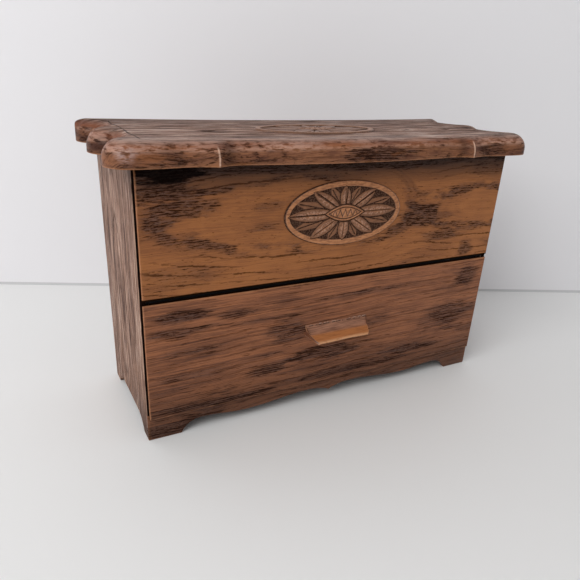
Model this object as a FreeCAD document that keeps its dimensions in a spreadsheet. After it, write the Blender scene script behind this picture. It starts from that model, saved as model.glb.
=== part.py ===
import FreeCAD, Part
import os
from math import cos, radians, sin

import Sketcher
from FreeCAD import Rotation, Vector

# A tabletop chest: a leaning carcass with an open upper compartment under a
# hinged, shaped lid, and one drawer below. Lengths are in millimetres.
# Every piece is drawn with Y = 0 on the front plane of the plinth and then
# moved so that the origin lies under the middle of the whole object.

doc = FreeCAD.newDocument("drawer_chest")
sheet = doc.addObject("Spreadsheet::Sheet", "sizes")

DRIVING_SIZES = {
    # Carcass
    "body_width": 288.6,
    "body_depth": 98.2,
    "body_height": 188.3,
    "lean_angle": 1.0,
    "wall_thickness": 4.0,
    "base_thickness": 3.0,
    "base_setdown": 2.0,
    "divider_thickness": 3.0,
    "divider_clearance": 0.5,
    # Plinth and the arches that leave the feet standing
    "plinth_height": 20.0,
    "plinth_thickness": 4.0,
    "front_foot": 23.3,
    "side_foot": 12.0,
    "rear_foot": 20.0,
    "shoulder_run": 14.5,
    "shoulder_rise": 9.2,
    "dip_place": 72.0,
    "dip_rise": 6.7,
    "crown_place": 18.5,
    "crown_rise": 10.3,
    "cusp_rise": 6.5,
    # Fronts that lap over the carcass edges
    "face_proud": 2.4,
    "face_thickness": 2.0,
    "face_margin": 1.2,
    "face_round": 0.8,
    "plug_depth": 4.0,
    "face_gap": 2.8,
    "lid_seat_gap": 0.4,
    # Drawer
    "drawer_face_low": 17.2,
    "drawer_face_top": 102.0,
    "plug_setback": 1.0,
    "drawer_side_clearance": 1.0,
    "drawer_wall": 2.5,
    "drawer_wall_drop": 7.0,
    "drawer_floor": 2.0,
    "drawer_rear_gap": 6.5,
    "drawer_float": 0.3,
    "runner_rise": 2.3,
    "runner_width": 8.0,
    "runner_inset": 4.0,
    "runner_end_gap": 2.0,
    "stop_tab_rise": 3.0,
    "stop_tab_width": 30.0,
    "stop_overlap": 1.0,
    "stop_width": 20.0,
    "stop_thickness": 4.0,
    "stop_place": 6.0,
    # Pull on the drawer front
    "pull_lift": 51.2,
    "pull_root_height": 8.0,
    "pull_root_curve": 6.0,
    "pull_reach": 12.1,
    "pull_slope_angle": 23.5,
    "pull_tip_thickness": 1.4,
    "pull_root_width": 53.8,
    "pull_tip_width": 45.8,
    "pull_corner": 3.0,
    "pull_screw_place": 14.0,
    "pull_screw_drop": 6.9,
    "pull_screw_grip": 3.4,
    # Lid
    "lid_thickness": 15.3,
    "lid_overhang": 15.0,
    "lid_bow": 17.3,
    "lid_bullnose": 11.0,
    "lid_rear_round": 4.0,
    "lid_sag": 1.4,
    "bow_end_reach": 12.0,
    "cove_run": 21.3,
    "arris_inset": 63.3,
    "arris_reach": 15.4,
    "dip_run": 19.7,
    "dip_reach": 11.6,
    "front_reach": 13.0,
    "cove_curve": 32.0,
    "dip_curve": 60.0,
    "swell_curve": 150.0,
    "lobe_curve": 14.5,
    "side_cove_depth": 13.1,
    "mid_lobe_inset": 0.4,
    "rear_lobe_inset": 1.4,
    "rear_lobe_back": 4.0,
    "score_inset": 21.1,
    "score_width": 1.0,
    "score_depth": 0.5,
    "score_front_margin": 11.0,
    "score_rear_margin": 18.5,
    # Carved medallions
    "medallion_length": 95.6,
    "medallion_height": 45.8,
    "medallion_thickness": 1.2,
    "medallion_rim": 4.6,
    "ground_depth": 0.9,
    "petal_top_drop": 0.1,
    "rear_petal_drop": 0.4,
    "petal_length": 43.0,
    "petal_height": 18.8,
    "petal_width": 8.2,
    "rear_petal_width": 6.8,
    "boss_length": 30.6,
    "boss_height": 10.6,
    "front_medallion_offset": -1.6,
    "front_medallion_lift": 4.9,
    "lid_medallion_offset": -5.0,
    "lid_medallion_advance": 4.0,
    # Hinges
    "hinge_inset": 57.6,
    "hinge_length": 25.0,
    "leaf_thickness": 1.0,
    "leaf_height": 9.5,
    "knuckle_radius": 1.7,
    "pin_radius": 0.8,
    "pin_clearance": 0.06,
    "pin_head_radius": 1.2,
    "pin_head_height": 0.5,
    "hinge_gap": 0.3,
    # Screws
    "hinge_screw_radius": 1.0,
    "hinge_screw_head": 1.9,
    "hinge_screw_length": 4.2,
    "hinge_screw_spread": 8.0,
    "hinge_screw_drop": 6.0,
    "drawer_screw_radius": 1.2,
    "drawer_screw_head": 2.6,
    "drawer_screw_length": 7.5,
    "drawer_screw_inset": 29.6,
    "drawer_screw_margin": 17.0,
    "pull_screw_radius": 0.9,
    "screw_head_height": 0.9,
    "screw_clearance": 0.06,
    "screw_end_gap": 0.3,
}

for row, (alias, value) in enumerate(DRIVING_SIZES.items(), start=1):
    sheet.set(f"A{row}", alias)
    sheet.set(f"B{row}", str(value))
    sheet.setAlias(f"B{row}", alias)
doc.recompute()


def size(alias):
    """Expression that reads one driving size."""
    return f"sizes.{alias}"


def number(expression):
    """Value of an expression, in millimetres or degrees."""
    return float(sheet.evalExpression(expression.replace("sizes.", "")))


# Heights, measured up from the ground
LID_UNDER = size("body_height")
LID_TOP = f"({LID_UNDER}+sizes.lid_thickness)"
PLINTH_TOP = size("plinth_height")
BASE_TOP = f"({PLINTH_TOP}-sizes.base_setdown)"
BASE_LOW = f"({BASE_TOP}-sizes.base_thickness)"
RUNNER_TOP = f"({BASE_TOP}+sizes.runner_rise)"
DRAWER_LOW = f"({RUNNER_TOP}+sizes.drawer_float)"
DRAWER_FLOOR_TOP = f"({DRAWER_LOW}+sizes.drawer_floor)"
DRAWER_FACE_LOW = size("drawer_face_low")
DRAWER_FACE_TOP = size("drawer_face_top")
DRAWER_PLUG_TOP = f"({DRAWER_FACE_TOP}-sizes.plug_setback)"
DIVIDER_LOW = f"({DRAWER_FACE_TOP}+sizes.divider_clearance)"
DIVIDER_TOP = f"({DIVIDER_LOW}+sizes.divider_thickness)"
UPPER_FACE_LOW = f"({DRAWER_FACE_TOP}+sizes.face_gap)"
UPPER_FACE_TOP = f"({LID_UNDER}-sizes.lid_seat_gap)"
WALL_TOP = f"({DRAWER_FACE_TOP}-sizes.drawer_wall_drop)"
STOP_TAB_TOP = f"({WALL_TOP}+sizes.stop_tab_rise)"
STOP_LOW = f"({STOP_TAB_TOP}-sizes.stop_overlap)"


def lean(height):
    """Sideways growth of a leaning wall between the ground and a height."""
    return f"({height})*tan(sizes.lean_angle*1deg)"


def outer(height):
    """Half width of the carcass at a height."""
    return f"(sizes.body_width/2+{lean(height)})"


def inner(height):
    """Half width between the side walls at a height."""
    return f"({outer(height)}-sizes.wall_thickness)"


def rear(height):
    """Place of the outer rear face at a height."""
    return f"(sizes.body_depth+{lean(height)})"


def rear_inner(height):
    """Place of the inner rear face at a height."""
    return f"({rear(height)}-sizes.wall_thickness)"


# Places along Y, measured back from the front plane of the plinth
FACE_FRONT = "(-sizes.face_proud)"
FACE_BACK = f"({FACE_FRONT}+sizes.face_thickness)"
INNER_FRONT_BACK = "(sizes.plug_depth+sizes.drawer_wall)"
DRAWER_REAR = f"({rear_inner(BASE_TOP)}-sizes.drawer_rear_gap)"
DRAWER_REAR_INNER = f"({DRAWER_REAR}-sizes.drawer_wall)"
REAR_TOP = rear(LID_UNDER)
PIN_OFFSET = "(sizes.knuckle_radius+sizes.hinge_gap)"
PIN_PLACE = f"({REAR_TOP}+{PIN_OFFSET})"
REARMOST = f"({PIN_PLACE}+sizes.knuckle_radius)"
FRONT_SHIFT = f"((sizes.lid_bow-{REARMOST})/2)"
DRAWER_HALF = f"({inner(BASE_TOP)}-sizes.drawer_side_clearance)"
FAR = "(2*sizes.body_width)"


def new_body(label):
    """Empty body under its label, moved from the front plane to the object's frame."""
    body = doc.addObject("PartDesign::Body", label)
    body.Label = label
    body.setExpression("Placement.Base.y", FRONT_SHIFT)
    return body


def new_sketch(body, name, plane, offset="0"):
    """Sketch on one of the body's own planes, shifted along that plane's normal."""
    sketch = body.newObject("Sketcher::SketchObject", name)
    origin_plane = [part for part in body.Origin.OriginFeatures if part.Role == plane][0]
    sketch.AttachmentSupport = [(origin_plane, "")]
    sketch.MapMode = "FlatFace"
    sketch.setExpression("AttachmentOffset.Base.z", offset)
    return sketch


def bind(sketch, kind, *place_and_value):
    """Add one dimension to a sketch and tie it to its expression."""
    *place, expression = place_and_value
    value = number(expression)
    index = sketch.addConstraint(Sketcher.Constraint(kind, *place, value))
    sketch.setExpression(f"Constraints[{index}]", expression)


def arc_through(start, end, radius, side):
    """Arc of a known radius from start to end, bulging right of the travel for side +1."""
    chord = end - start
    right = Vector(chord.y, -chord.x, 0).normalize() * side
    half = chord.Length / 2
    centre = (start + end) / 2 - right * (radius * radius - half * half) ** 0.5
    crest = centre + right * radius
    return Part.Arc(start, crest, end)


def draw(sketch, steps):
    """Draw a closed outline.

    Each step is (x, y) or (x, y, radius, side): a corner, and the arc that
    leaves it towards the next corner. Without an arc the edge is straight.
    """
    first = sketch.GeometryCount
    corners = [Vector(number(step[0]), number(step[1]), 0) for step in steps]
    for index, step in enumerate(steps):
        start = corners[index]
        end = corners[(index + 1) % len(steps)]
        if len(step) == 2:
            sketch.addGeometry(Part.LineSegment(start, end))
        else:
            sketch.addGeometry(arc_through(start, end, number(step[2]), step[3]))
    ends = []
    for index in range(len(steps)):
        follows = (sketch.getPoint(first + index, 1) - corners[index]).Length < 1e-6
        ends.append((1, 2) if follows else (2, 1))
    for index, step in enumerate(steps):
        after = (index + 1) % len(steps)
        joint = (first + index, ends[index][1], first + after, ends[after][0])
        sketch.addConstraint(Sketcher.Constraint("Coincident", *joint))
    for index, step in enumerate(steps):
        bind(sketch, "DistanceX", -1, 1, first + index, ends[index][0], step[0])
        bind(sketch, "DistanceY", -1, 1, first + index, ends[index][0], step[1])
        if len(step) > 2:
            bind(sketch, "Radius", first + index, step[2])


def draw_circle(sketch, x, y, radius):
    """Draw a circle whose centre and radius are expressions."""
    index = sketch.GeometryCount
    centre = Vector(number(x), number(y), 0)
    sketch.addGeometry(Part.Circle(centre, Vector(0, 0, 1), number(radius)))
    bind(sketch, "DistanceX", -1, 1, index, 3, x)
    bind(sketch, "DistanceY", -1, 1, index, 3, y)
    bind(sketch, "Radius", index, radius)


def rectangle(left, right, low, high):
    """Corners of a rectangle, anticlockwise."""
    return [(left, low), (right, low), (right, high), (left, high)]


def finish_feature(body, feature):
    """Recompute and make sure that the feature is sound."""
    doc.recompute()
    if "Invalid" in feature.State or "Error" in feature.State:
        raise RuntimeError(f"{body.Label}: {feature.Name} failed")
    return feature


def pad(body, sketch, length, backwards=False, both_ways=False):
    """Grow a sketch into a solid."""
    feature = body.newObject("PartDesign::Pad", f"{sketch.Name}_pad")
    feature.Profile = sketch
    feature.setExpression("Length", length)
    feature.Reversed = backwards
    feature.Midplane = both_ways
    return finish_feature(body, feature)


def pocket(body, sketch, length, backwards=False, both_ways=False):
    """Cut a sketch out of the solid and make sure that something went."""
    volume = body.Shape.Volume
    feature = body.newObject("PartDesign::Pocket", f"{sketch.Name}_pocket")
    feature.Profile = sketch
    feature.setExpression("Length", length)
    feature.Reversed = backwards
    feature.Midplane = both_ways
    finish_feature(body, feature)
    if body.Shape.Volume >= volume:
        raise RuntimeError(f"{body.Label}: {feature.Name} cuts nothing")
    return feature


def round_edges(body, base, radius, wanted):
    """Round the edges that the test picks."""
    names = [f"Edge{index}" for index, edge in enumerate(base.Shape.Edges, start=1) if wanted(edge)]
    feature = body.newObject("PartDesign::Fillet", f"{body.Name}_round_{len(body.Group)}")
    feature.Base = (base, names)
    feature.setExpression("Radius", radius)
    return finish_feature(body, feature)


def slab(label, outline, front, depth):
    """Body whose front view is the outline, from Y = front back through depth."""
    body = new_body(label)
    sketch = new_sketch(body, f"{label}_outline", "XZ_Plane", f"-({front})")
    draw(sketch, outline)
    pad(body, sketch, depth, backwards=True)
    return body


def two_views(label, side_view, front_view):
    """Body that has one outline seen from the side and another seen from the front."""
    body = new_body(label)
    side_sketch = new_sketch(body, f"{label}_side_view", "YZ_Plane")
    draw(side_sketch, side_view)
    pad(body, side_sketch, FAR, both_ways=True)
    waste = new_sketch(body, f"{label}_front_view", "XZ_Plane")
    draw(waste, rectangle(f"-{FAR}", FAR, f"-{FAR}", FAR))
    draw(waste, front_view)
    pocket(body, waste, FAR, both_ways=True)
    return body


def leaning_strip(low, high, half_width):
    """Trapezium between two heights whose ends follow the leaning walls."""
    return [
        (f"-{half_width(low)}", low),
        (half_width(low), low),
        (half_width(high), high),
        (f"-{half_width(high)}", high),
    ]


def shoulder(rise):
    """Radius of the arc that climbs from a foot and arrives level."""
    return f"((sizes.shoulder_run*sizes.shoulder_run+{rise}*{rise})/(2*{rise}))"


def wave(near_x, near_rise, far_x, far_rise):
    """Radius of the two equal arcs that join two level points as an S."""
    run = f"({far_x}-{near_x})"
    climb = f"({far_rise}-{near_rise})"
    return f"(({run}*{run}+{climb}*{climb})/(4*abs({climb})))"


# Side walls
RISE = size("shoulder_rise")
SIDE_ARCH_REAR = "(sizes.body_depth-sizes.side_foot)"


def side_wall(label, sign):
    """Leaning wall with an arch under it and a step for the plinth."""
    side_view = [
        (size("side_foot"), "0", shoulder(RISE), -1),
        ("sizes.side_foot+sizes.shoulder_run", RISE),
        (f"{SIDE_ARCH_REAR}-sizes.shoulder_run", RISE, shoulder(RISE), -1),
        (SIDE_ARCH_REAR, "0"),
        (rear("0"), "0"),
        (rear(LID_UNDER), LID_UNDER),
        ("0", LID_UNDER),
        ("0", PLINTH_TOP),
        (size("plinth_thickness"), PLINTH_TOP),
        (size("plinth_thickness"), "0"),
    ]
    front_view = [
        (f"{sign}*{outer('0')}", "0"),
        (f"{sign}*{inner('0')}", "0"),
        (f"{sign}*{inner(LID_UNDER)}", LID_UNDER),
        (f"{sign}*{outer(LID_UNDER)}", LID_UNDER),
    ]
    return two_views(label, side_view, front_view)


side_wall("left_side_panel", -1)
side_wall("right_side_panel", 1)

# Back, between the sides, with its own arch
back_view = [
    (rear_inner("0"), "0"),
    (rear("0"), "0"),
    (rear(LID_UNDER), LID_UNDER),
    (rear_inner(LID_UNDER), LID_UNDER),
]
BACK_ARCH = f"({inner('0')}-sizes.rear_foot)"
back_outline = [
    (f"-{inner('0')}", "0"),
    (f"-{BACK_ARCH}", "0", shoulder(RISE), -1),
    (f"-({BACK_ARCH}-sizes.shoulder_run)", RISE),
    (f"({BACK_ARCH}-sizes.shoulder_run)", RISE, shoulder(RISE), -1),
    (BACK_ARCH, "0"),
    (inner("0"), "0"),
    (inner(LID_UNDER), LID_UNDER),
    (f"-{inner(LID_UNDER)}", LID_UNDER),
]
back_panel = two_views("back_panel", back_view, back_outline)

# Plinth with its waved lower edge: shoulder, dip, crown and a central cusp
FRONT_ARCH = "(sizes.body_width/2-sizes.front_foot)"
SHOULDER_X = f"({FRONT_ARCH}-sizes.shoulder_run)"
DIP_X = size("dip_place")
DIP_Z = size("dip_rise")
CROWN_X = size("crown_place")
CROWN_Z = size("crown_rise")
CUSP_Z = size("cusp_rise")
OUTER_WAVE = wave(DIP_X, DIP_Z, SHOULDER_X, RISE)
INNER_WAVE = wave(CROWN_X, CROWN_Z, DIP_X, DIP_Z)
CUSP_DROP = f"({CROWN_Z}-{CUSP_Z})"
CUSP_ARC = f"(({CROWN_X}*{CROWN_X}+{CUSP_DROP}*{CUSP_DROP})/(2*{CUSP_DROP}))"
left_wave = [
    (f"-{outer('0')}", "0"),
    (f"-{FRONT_ARCH}", "0", shoulder(RISE), -1),
    (f"-{SHOULDER_X}", RISE, OUTER_WAVE, -1),
    (f"-({SHOULDER_X}+{DIP_X})/2", f"({RISE}+{DIP_Z})/2", OUTER_WAVE, 1),
    (f"-{DIP_X}", DIP_Z, INNER_WAVE, 1),
    (f"-({DIP_X}+{CROWN_X})/2", f"({DIP_Z}+{CROWN_Z})/2", INNER_WAVE, -1),
    (f"-{CROWN_X}", CROWN_Z, CUSP_ARC, -1),
]
right_wave = [
    ("0", CUSP_Z, CUSP_ARC, -1),
    (CROWN_X, CROWN_Z, INNER_WAVE, -1),
    (f"({DIP_X}+{CROWN_X})/2", f"({DIP_Z}+{CROWN_Z})/2", INNER_WAVE, 1),
    (DIP_X, DIP_Z, OUTER_WAVE, 1),
    (f"({SHOULDER_X}+{DIP_X})/2", f"({RISE}+{DIP_Z})/2", OUTER_WAVE, -1),
    (SHOULDER_X, RISE, shoulder(RISE), -1),
    (FRONT_ARCH, "0"),
    (outer("0"), "0"),
    (outer(PLINTH_TOP), PLINTH_TOP),
    (f"-{outer(PLINTH_TOP)}", PLINTH_TOP),
]
slab("front_plinth", left_wave + right_wave, "0", size("plinth_thickness"))

# Base of the drawer bay and the floor of the upper compartment
BASE_DEPTH = f"({rear_inner(BASE_LOW)}-sizes.plinth_thickness)"
slab("base_panel", leaning_strip(BASE_LOW, BASE_TOP, inner), size("plinth_thickness"), BASE_DEPTH)
slab("compartment_floor", leaning_strip(DIVIDER_LOW, DIVIDER_TOP, inner), "0", rear_inner(DIVIDER_LOW))

# Runners that carry the drawer
RUNNER_OUT = f"({inner(BASE_TOP)}-sizes.runner_inset)"
RUNNER_IN = f"({RUNNER_OUT}-sizes.runner_width)"
RUNNER_START = "(sizes.plinth_thickness+sizes.runner_end_gap)"
RUNNER_LENGTH = f"({rear_inner(BASE_TOP)}-sizes.runner_end_gap-{RUNNER_START})"
left_runner_outline = rectangle(f"-{RUNNER_OUT}", f"-{RUNNER_IN}", BASE_TOP, RUNNER_TOP)
right_runner_outline = rectangle(RUNNER_IN, RUNNER_OUT, BASE_TOP, RUNNER_TOP)
slab("left_runner", left_runner_outline, RUNNER_START, RUNNER_LENGTH)
slab("right_runner", right_runner_outline, RUNNER_START, RUNNER_LENGTH)

# Stop that catches the raised middle of the drawer's back wall
HALF_STOP = "(sizes.stop_width/2)"
stop_outline = rectangle(f"-{HALF_STOP}", HALF_STOP, STOP_LOW, DIVIDER_LOW)
slab("drawer_stop", stop_outline, size("stop_place"), size("stop_thickness"))


def face_half(height):
    """Half width of a front that stops short of the carcass sides."""
    return f"({outer(height)}-sizes.face_margin)"


def is_on_face(edge):
    """True for an edge that lies in the proud front plane."""
    box = edge.BoundBox
    plane = number(FACE_FRONT)
    return abs(box.YMin - plane) < 0.01 and abs(box.YMax - plane) < 0.01


def lapped_front(label, low, high, plug):
    """Front plate that laps over the carcass, with a plug that fills the opening behind it."""
    body = slab(label, leaning_strip(low, high, face_half), FACE_FRONT, size("face_thickness"))
    round_edges(body, body.Tip, size("face_round"), is_on_face)
    sketch = new_sketch(body, f"{label}_plug", "XZ_Plane", f"-{FACE_BACK}")
    draw(sketch, plug)
    pad(body, sketch, f"(sizes.plug_depth-{FACE_BACK})", backwards=True)
    return body


lapped_front(
    "upper_front_panel",
    UPPER_FACE_LOW,
    UPPER_FACE_TOP,
    leaning_strip(DIVIDER_TOP, UPPER_FACE_TOP, inner),
)

# Drawer front and the box behind it
drawer_front = lapped_front(
    "drawer_front",
    DRAWER_FACE_LOW,
    DRAWER_FACE_TOP,
    rectangle(f"-{DRAWER_HALF}", DRAWER_HALF, DRAWER_LOW, DRAWER_PLUG_TOP),
)
WALL_INNER = f"({DRAWER_HALF}-sizes.drawer_wall)"
box_front = slab(
    "drawer_inner_front",
    rectangle(f"-{DRAWER_HALF}", DRAWER_HALF, DRAWER_FLOOR_TOP, WALL_TOP),
    size("plug_depth"),
    size("drawer_wall"),
)
BOX_FLOOR_DEPTH = f"({DRAWER_REAR}-sizes.plug_depth)"
slab(
    "drawer_bottom",
    rectangle(f"-{DRAWER_HALF}", DRAWER_HALF, DRAWER_LOW, DRAWER_FLOOR_TOP),
    size("plug_depth"),
    BOX_FLOOR_DEPTH,
)
WALL_LENGTH = f"({DRAWER_REAR}-{INNER_FRONT_BACK})"
left_wall = rectangle(f"-{DRAWER_HALF}", f"-{WALL_INNER}", DRAWER_FLOOR_TOP, WALL_TOP)
right_wall = rectangle(WALL_INNER, DRAWER_HALF, DRAWER_FLOOR_TOP, WALL_TOP)
slab("drawer_left_wall", left_wall, INNER_FRONT_BACK, WALL_LENGTH)
slab("drawer_right_wall", right_wall, INNER_FRONT_BACK, WALL_LENGTH)
HALF_TAB = "(sizes.stop_tab_width/2)"
rear_wall = [
    (f"-{WALL_INNER}", DRAWER_FLOOR_TOP),
    (WALL_INNER, DRAWER_FLOOR_TOP),
    (WALL_INNER, WALL_TOP),
    (HALF_TAB, WALL_TOP),
    (HALF_TAB, STOP_TAB_TOP),
    (f"-{HALF_TAB}", STOP_TAB_TOP),
    (f"-{HALF_TAB}", WALL_TOP),
    (f"-{WALL_INNER}", WALL_TOP),
]
slab("drawer_back_wall", rear_wall, DRAWER_REAR_INNER, size("drawer_wall"))

# Pull: a lip that curves out of the drawer front and slopes down to a thin edge
CURVE = size("pull_root_curve")
SLOPE = "(sizes.pull_slope_angle*1deg)"
ROOT_TOP = f"({DRAWER_FACE_LOW}+sizes.pull_lift)"
ROOT_LOW = f"({ROOT_TOP}-sizes.pull_root_height)"
BEND_Y = f"({FACE_FRONT}-{CURVE}+{CURVE}*sin{SLOPE})"
BEND_Z = f"({ROOT_TOP}-{CURVE}*cos{SLOPE})"
TIP_Y = f"({FACE_FRONT}-sizes.pull_reach)"
TIP_Z = f"({BEND_Z}-({BEND_Y}-{TIP_Y})*tan{SLOPE})"
TIP_CURVE = "(0.51*sizes.pull_tip_thickness)"
pull = new_body("drawer_pull")
pull_profile = new_sketch(pull, "drawer_pull_profile", "YZ_Plane")
draw(pull_profile, [
    (FACE_FRONT, ROOT_TOP, CURVE, -1),
    (BEND_Y, BEND_Z),
    (TIP_Y, TIP_Z, TIP_CURVE, 1),
    (TIP_Y, f"({TIP_Z}-sizes.pull_tip_thickness)"),
    (FACE_FRONT, ROOT_LOW),
])
pad(pull, pull_profile, size("pull_root_width"), both_ways=True)
ROOT_HALF = "(sizes.pull_root_width/2)"
TIP_WIDE = "(sizes.pull_tip_width/2)"
CORNER = size("pull_corner")
CORNER_CURVE = f"(1.2*{CORNER})"
FRONTMOST = f"({TIP_Y}-sizes.pull_tip_thickness)"
pull_plan = new_sketch(pull, "drawer_pull_plan", "XY_Plane")
draw(pull_plan, rectangle(f"-{FAR}", FAR, f"-{FAR}", FAR))
draw(pull_plan, [
    (f"-{ROOT_HALF}", FACE_FRONT),
    (f"-{TIP_WIDE}", f"({TIP_Y}+{CORNER})", CORNER_CURVE, 1),
    (f"-({TIP_WIDE}-{CORNER})", FRONTMOST),
    (f"({TIP_WIDE}-{CORNER})", FRONTMOST, CORNER_CURVE, 1),
    (TIP_WIDE, f"({TIP_Y}+{CORNER})"),
    (ROOT_HALF, FACE_FRONT),
])
pocket(pull, pull_plan, FAR, both_ways=True)


# Lid: a bowed front between two sharp arrises, and three lobes at each end
LOBE = size("lobe_curve")
HALF = f"({outer(LID_UNDER)}+sizes.lid_overhang)"
FRONT_Y = "(-sizes.front_reach)"
FRONT_LOBE = (f"({HALF}-{LOBE})", f"({FRONT_Y}+{LOBE})")
REAR_LOBE = (f"({HALF}-sizes.rear_lobe_inset-{LOBE})", f"({REAR_TOP}-sizes.rear_lobe_back)")
MID_LOBE = (f"({HALF}-sizes.mid_lobe_inset-{LOBE})", f"(({FRONT_LOBE[1]}+{REAR_LOBE[1]})/2)")
HALF_PITCH = f"(({REAR_LOBE[1]}-{FRONT_LOBE[1]})/4)"
COVE_DEPTH = size("side_cove_depth")
COVE = f"(({HALF_PITCH}*{HALF_PITCH}+{COVE_DEPTH}*{COVE_DEPTH})/(2*{COVE_DEPTH})-{LOBE})"


def cove_touches(before, after):
    """Points where the hollow between two equal lobes touches each of them."""
    run = f"({after[0]}-{before[0]})"
    rise = f"({after[1]}-{before[1]})"
    square = f"({run}*{run}+{rise}*{rise})"
    reach = f"sqrt(({LOBE}+{COVE})*({LOBE}+{COVE})/{square}-0.25)"
    centre_x = f"(({before[0]}+{after[0]})/2+{rise}*{reach})"
    centre_y = f"(({before[1]}+{after[1]})/2-{run}*{reach})"
    share = f"({LOBE}/({LOBE}+{COVE}))"
    return [
        (f"({lobe[0]}+({centre_x}-{lobe[0]})*{share})", f"({lobe[1]}+({centre_y}-{lobe[1]})*{share})")
        for lobe in (before, after)
    ]


touch_1, touch_2 = cove_touches(FRONT_LOBE, MID_LOBE)
touch_3, touch_4 = cove_touches(MID_LOBE, REAR_LOBE)
REAR_CORNER_X = f"({REAR_LOBE[0]}+sqrt({LOBE}*{LOBE}-sizes.rear_lobe_back*sizes.rear_lobe_back))"
ARRIS_X = f"({HALF}-sizes.arris_inset)"
BOW_X = f"({ARRIS_X}-sizes.cove_run)"
right_edge = [
    (BOW_X, "(-sizes.bow_end_reach)", size("cove_curve"), -1),
    (ARRIS_X, "(-sizes.arris_reach)", size("dip_curve"), -1),
    (f"({ARRIS_X}+sizes.dip_run)", "(-sizes.dip_reach)", size("swell_curve"), 1),
    (FRONT_LOBE[0], FRONT_Y, LOBE, 1),
    (*touch_1, COVE, -1),
    (*touch_2, LOBE, 1),
    (*touch_3, COVE, -1),
    (*touch_4, LOBE, 1),
    (REAR_CORNER_X, REAR_TOP),
]
left_edge = []
for index in range(len(right_edge) - 1, -1, -1):
    x, y = right_edge[index][:2]
    leaving = right_edge[index - 1][2:] if index > 0 else None
    left_edge.append((f"-{x}", y, *leaving) if leaving else (f"-{x}", y))
BOW_RISE = "(sizes.lid_bow-sizes.bow_end_reach)"
BOW_CURVE = f"(({BOW_X}*{BOW_X}+{BOW_RISE}*{BOW_RISE})/(2*{BOW_RISE}))"
left_edge[-1] = (*left_edge[-1][:2], BOW_CURVE, 1)

lid = new_body("lid_panel")
lid_plan = new_sketch(lid, "lid_plan", "XY_Plane", LID_UNDER)
draw(lid_plan, right_edge + left_edge)
pad(lid, lid_plan, size("lid_thickness"))

# The top sags a little between its ends, as a wide arc seen from the front
SPAN = HALF
SAG = size("lid_sag")
SAG_CURVE = f"(({SPAN}*{SPAN}+{SAG}*{SAG})/(2*{SAG}))"
sag_sketch = new_sketch(lid, "lid_sag_view", "XZ_Plane")
draw(sag_sketch, [
    (f"-{SPAN}", LID_TOP, SAG_CURVE, 1),
    (SPAN, LID_TOP),
    (SPAN, f"({LID_TOP}+{LOBE})"),
    (f"-{SPAN}", f"({LID_TOP}+{LOBE})"),
])
sagged = pocket(lid, sag_sketch, FAR, both_ways=True)


def is_high(edge):
    """True for an edge in the upper half of the lid's thickness."""
    return edge.BoundBox.ZMin > number(LID_UNDER) + number(size("lid_thickness")) / 2


def is_rear(edge):
    """True for an edge in the lid's flat rear face."""
    return edge.BoundBox.YMin > number(REAR_TOP) - 0.01


bullnose = round_edges(lid, sagged, size("lid_bullnose"), lambda edge: is_high(edge) and not is_rear(edge))
round_edges(lid, bullnose, size("lid_rear_round"), lambda edge: is_high(edge) and is_rear(edge))

# Two scored lines across the top, near its ends
SCORE_X = f"({HALF}-sizes.score_inset)"
SCORE_OUT = f"({SCORE_X}+sizes.score_width/2)"
SCORE_IN = f"({SCORE_X}-sizes.score_width/2)"
SCORE_FRONT = f"({FRONT_Y}+sizes.score_front_margin)"
SCORE_REAR = f"({REAR_TOP}-sizes.score_rear_margin)"
SCORE_SHARE = f"(1-{SCORE_X}*{SCORE_X}/({SPAN}*{SPAN}))"
score = new_sketch(lid, "lid_score", "XY_Plane", LID_TOP)
draw(score, rectangle(f"-{SCORE_OUT}", f"-{SCORE_IN}", SCORE_FRONT, SCORE_REAR))
draw(score, rectangle(SCORE_IN, SCORE_OUT, SCORE_FRONT, SCORE_REAR))
pocket(lid, score, f"(sizes.score_depth+{SAG}*{SCORE_SHARE})")


def drill(body, name, places, radius, start, depth, forwards=True):
    """Sink round holes into a body from the plane Y = start, towards the front or the back."""
    sketch = new_sketch(body, name, "XZ_Plane", f"-({start})")
    for x, z in places:
        draw_circle(sketch, x, z, f"({radius}+sizes.screw_clearance)")
    pocket(body, sketch, depth, backwards=forwards)


# Hinges: two leaves round one pin, three knuckles each, screwed on from behind
SPREAD = size("hinge_screw_spread")
HINGE_X = f"({outer(LID_UNDER)}-sizes.hinge_inset)"
HINGE_CENTRES = {"left": f"(-{HINGE_X})", "right": HINGE_X}
BODY_SCREW_Z = f"({LID_UNDER}-sizes.hinge_screw_drop)"
LID_SCREW_Z = f"({LID_UNDER}+sizes.hinge_screw_drop)"
HALF_LENGTH = "(sizes.hinge_length/2)"
HALF_MIDDLE = "(sizes.hinge_length/6)"
HALF_GAP = "(sizes.hinge_gap/2)"


def hinge_leaf(label, centre, outline, notches, screw_z):
    """Leaf with its share of the barrel, bored for the pin and two screws."""
    body = new_body(label)
    plate = new_sketch(body, f"{label}_plate", "YZ_Plane", centre)
    draw(plate, outline)
    pad(body, plate, size("hinge_length"), both_ways=True)
    barrel = new_sketch(body, f"{label}_barrel", "YZ_Plane", centre)
    draw_circle(barrel, PIN_PLACE, LID_UNDER, size("knuckle_radius"))
    pad(body, barrel, size("hinge_length"), both_ways=True)
    gaps = new_sketch(body, f"{label}_gaps", "XZ_Plane")
    for notch in notches:
        draw(gaps, notch)
    pocket(body, gaps, FAR, both_ways=True)
    bore = new_sketch(body, f"{label}_bore", "YZ_Plane", centre)
    draw_circle(bore, PIN_PLACE, LID_UNDER, "(sizes.pin_radius+sizes.pin_clearance)")
    pocket(body, bore, f"(2*{size('hinge_length')})", both_ways=True)
    places = [(f"({centre}-{SPREAD})", screw_z), (f"({centre}+{SPREAD})", screw_z)]
    drill(body, f"{label}_holes", places, size("hinge_screw_radius"), f"({PIN_PLACE}+{FAR})", f"(2*{FAR})")
    return body


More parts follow.
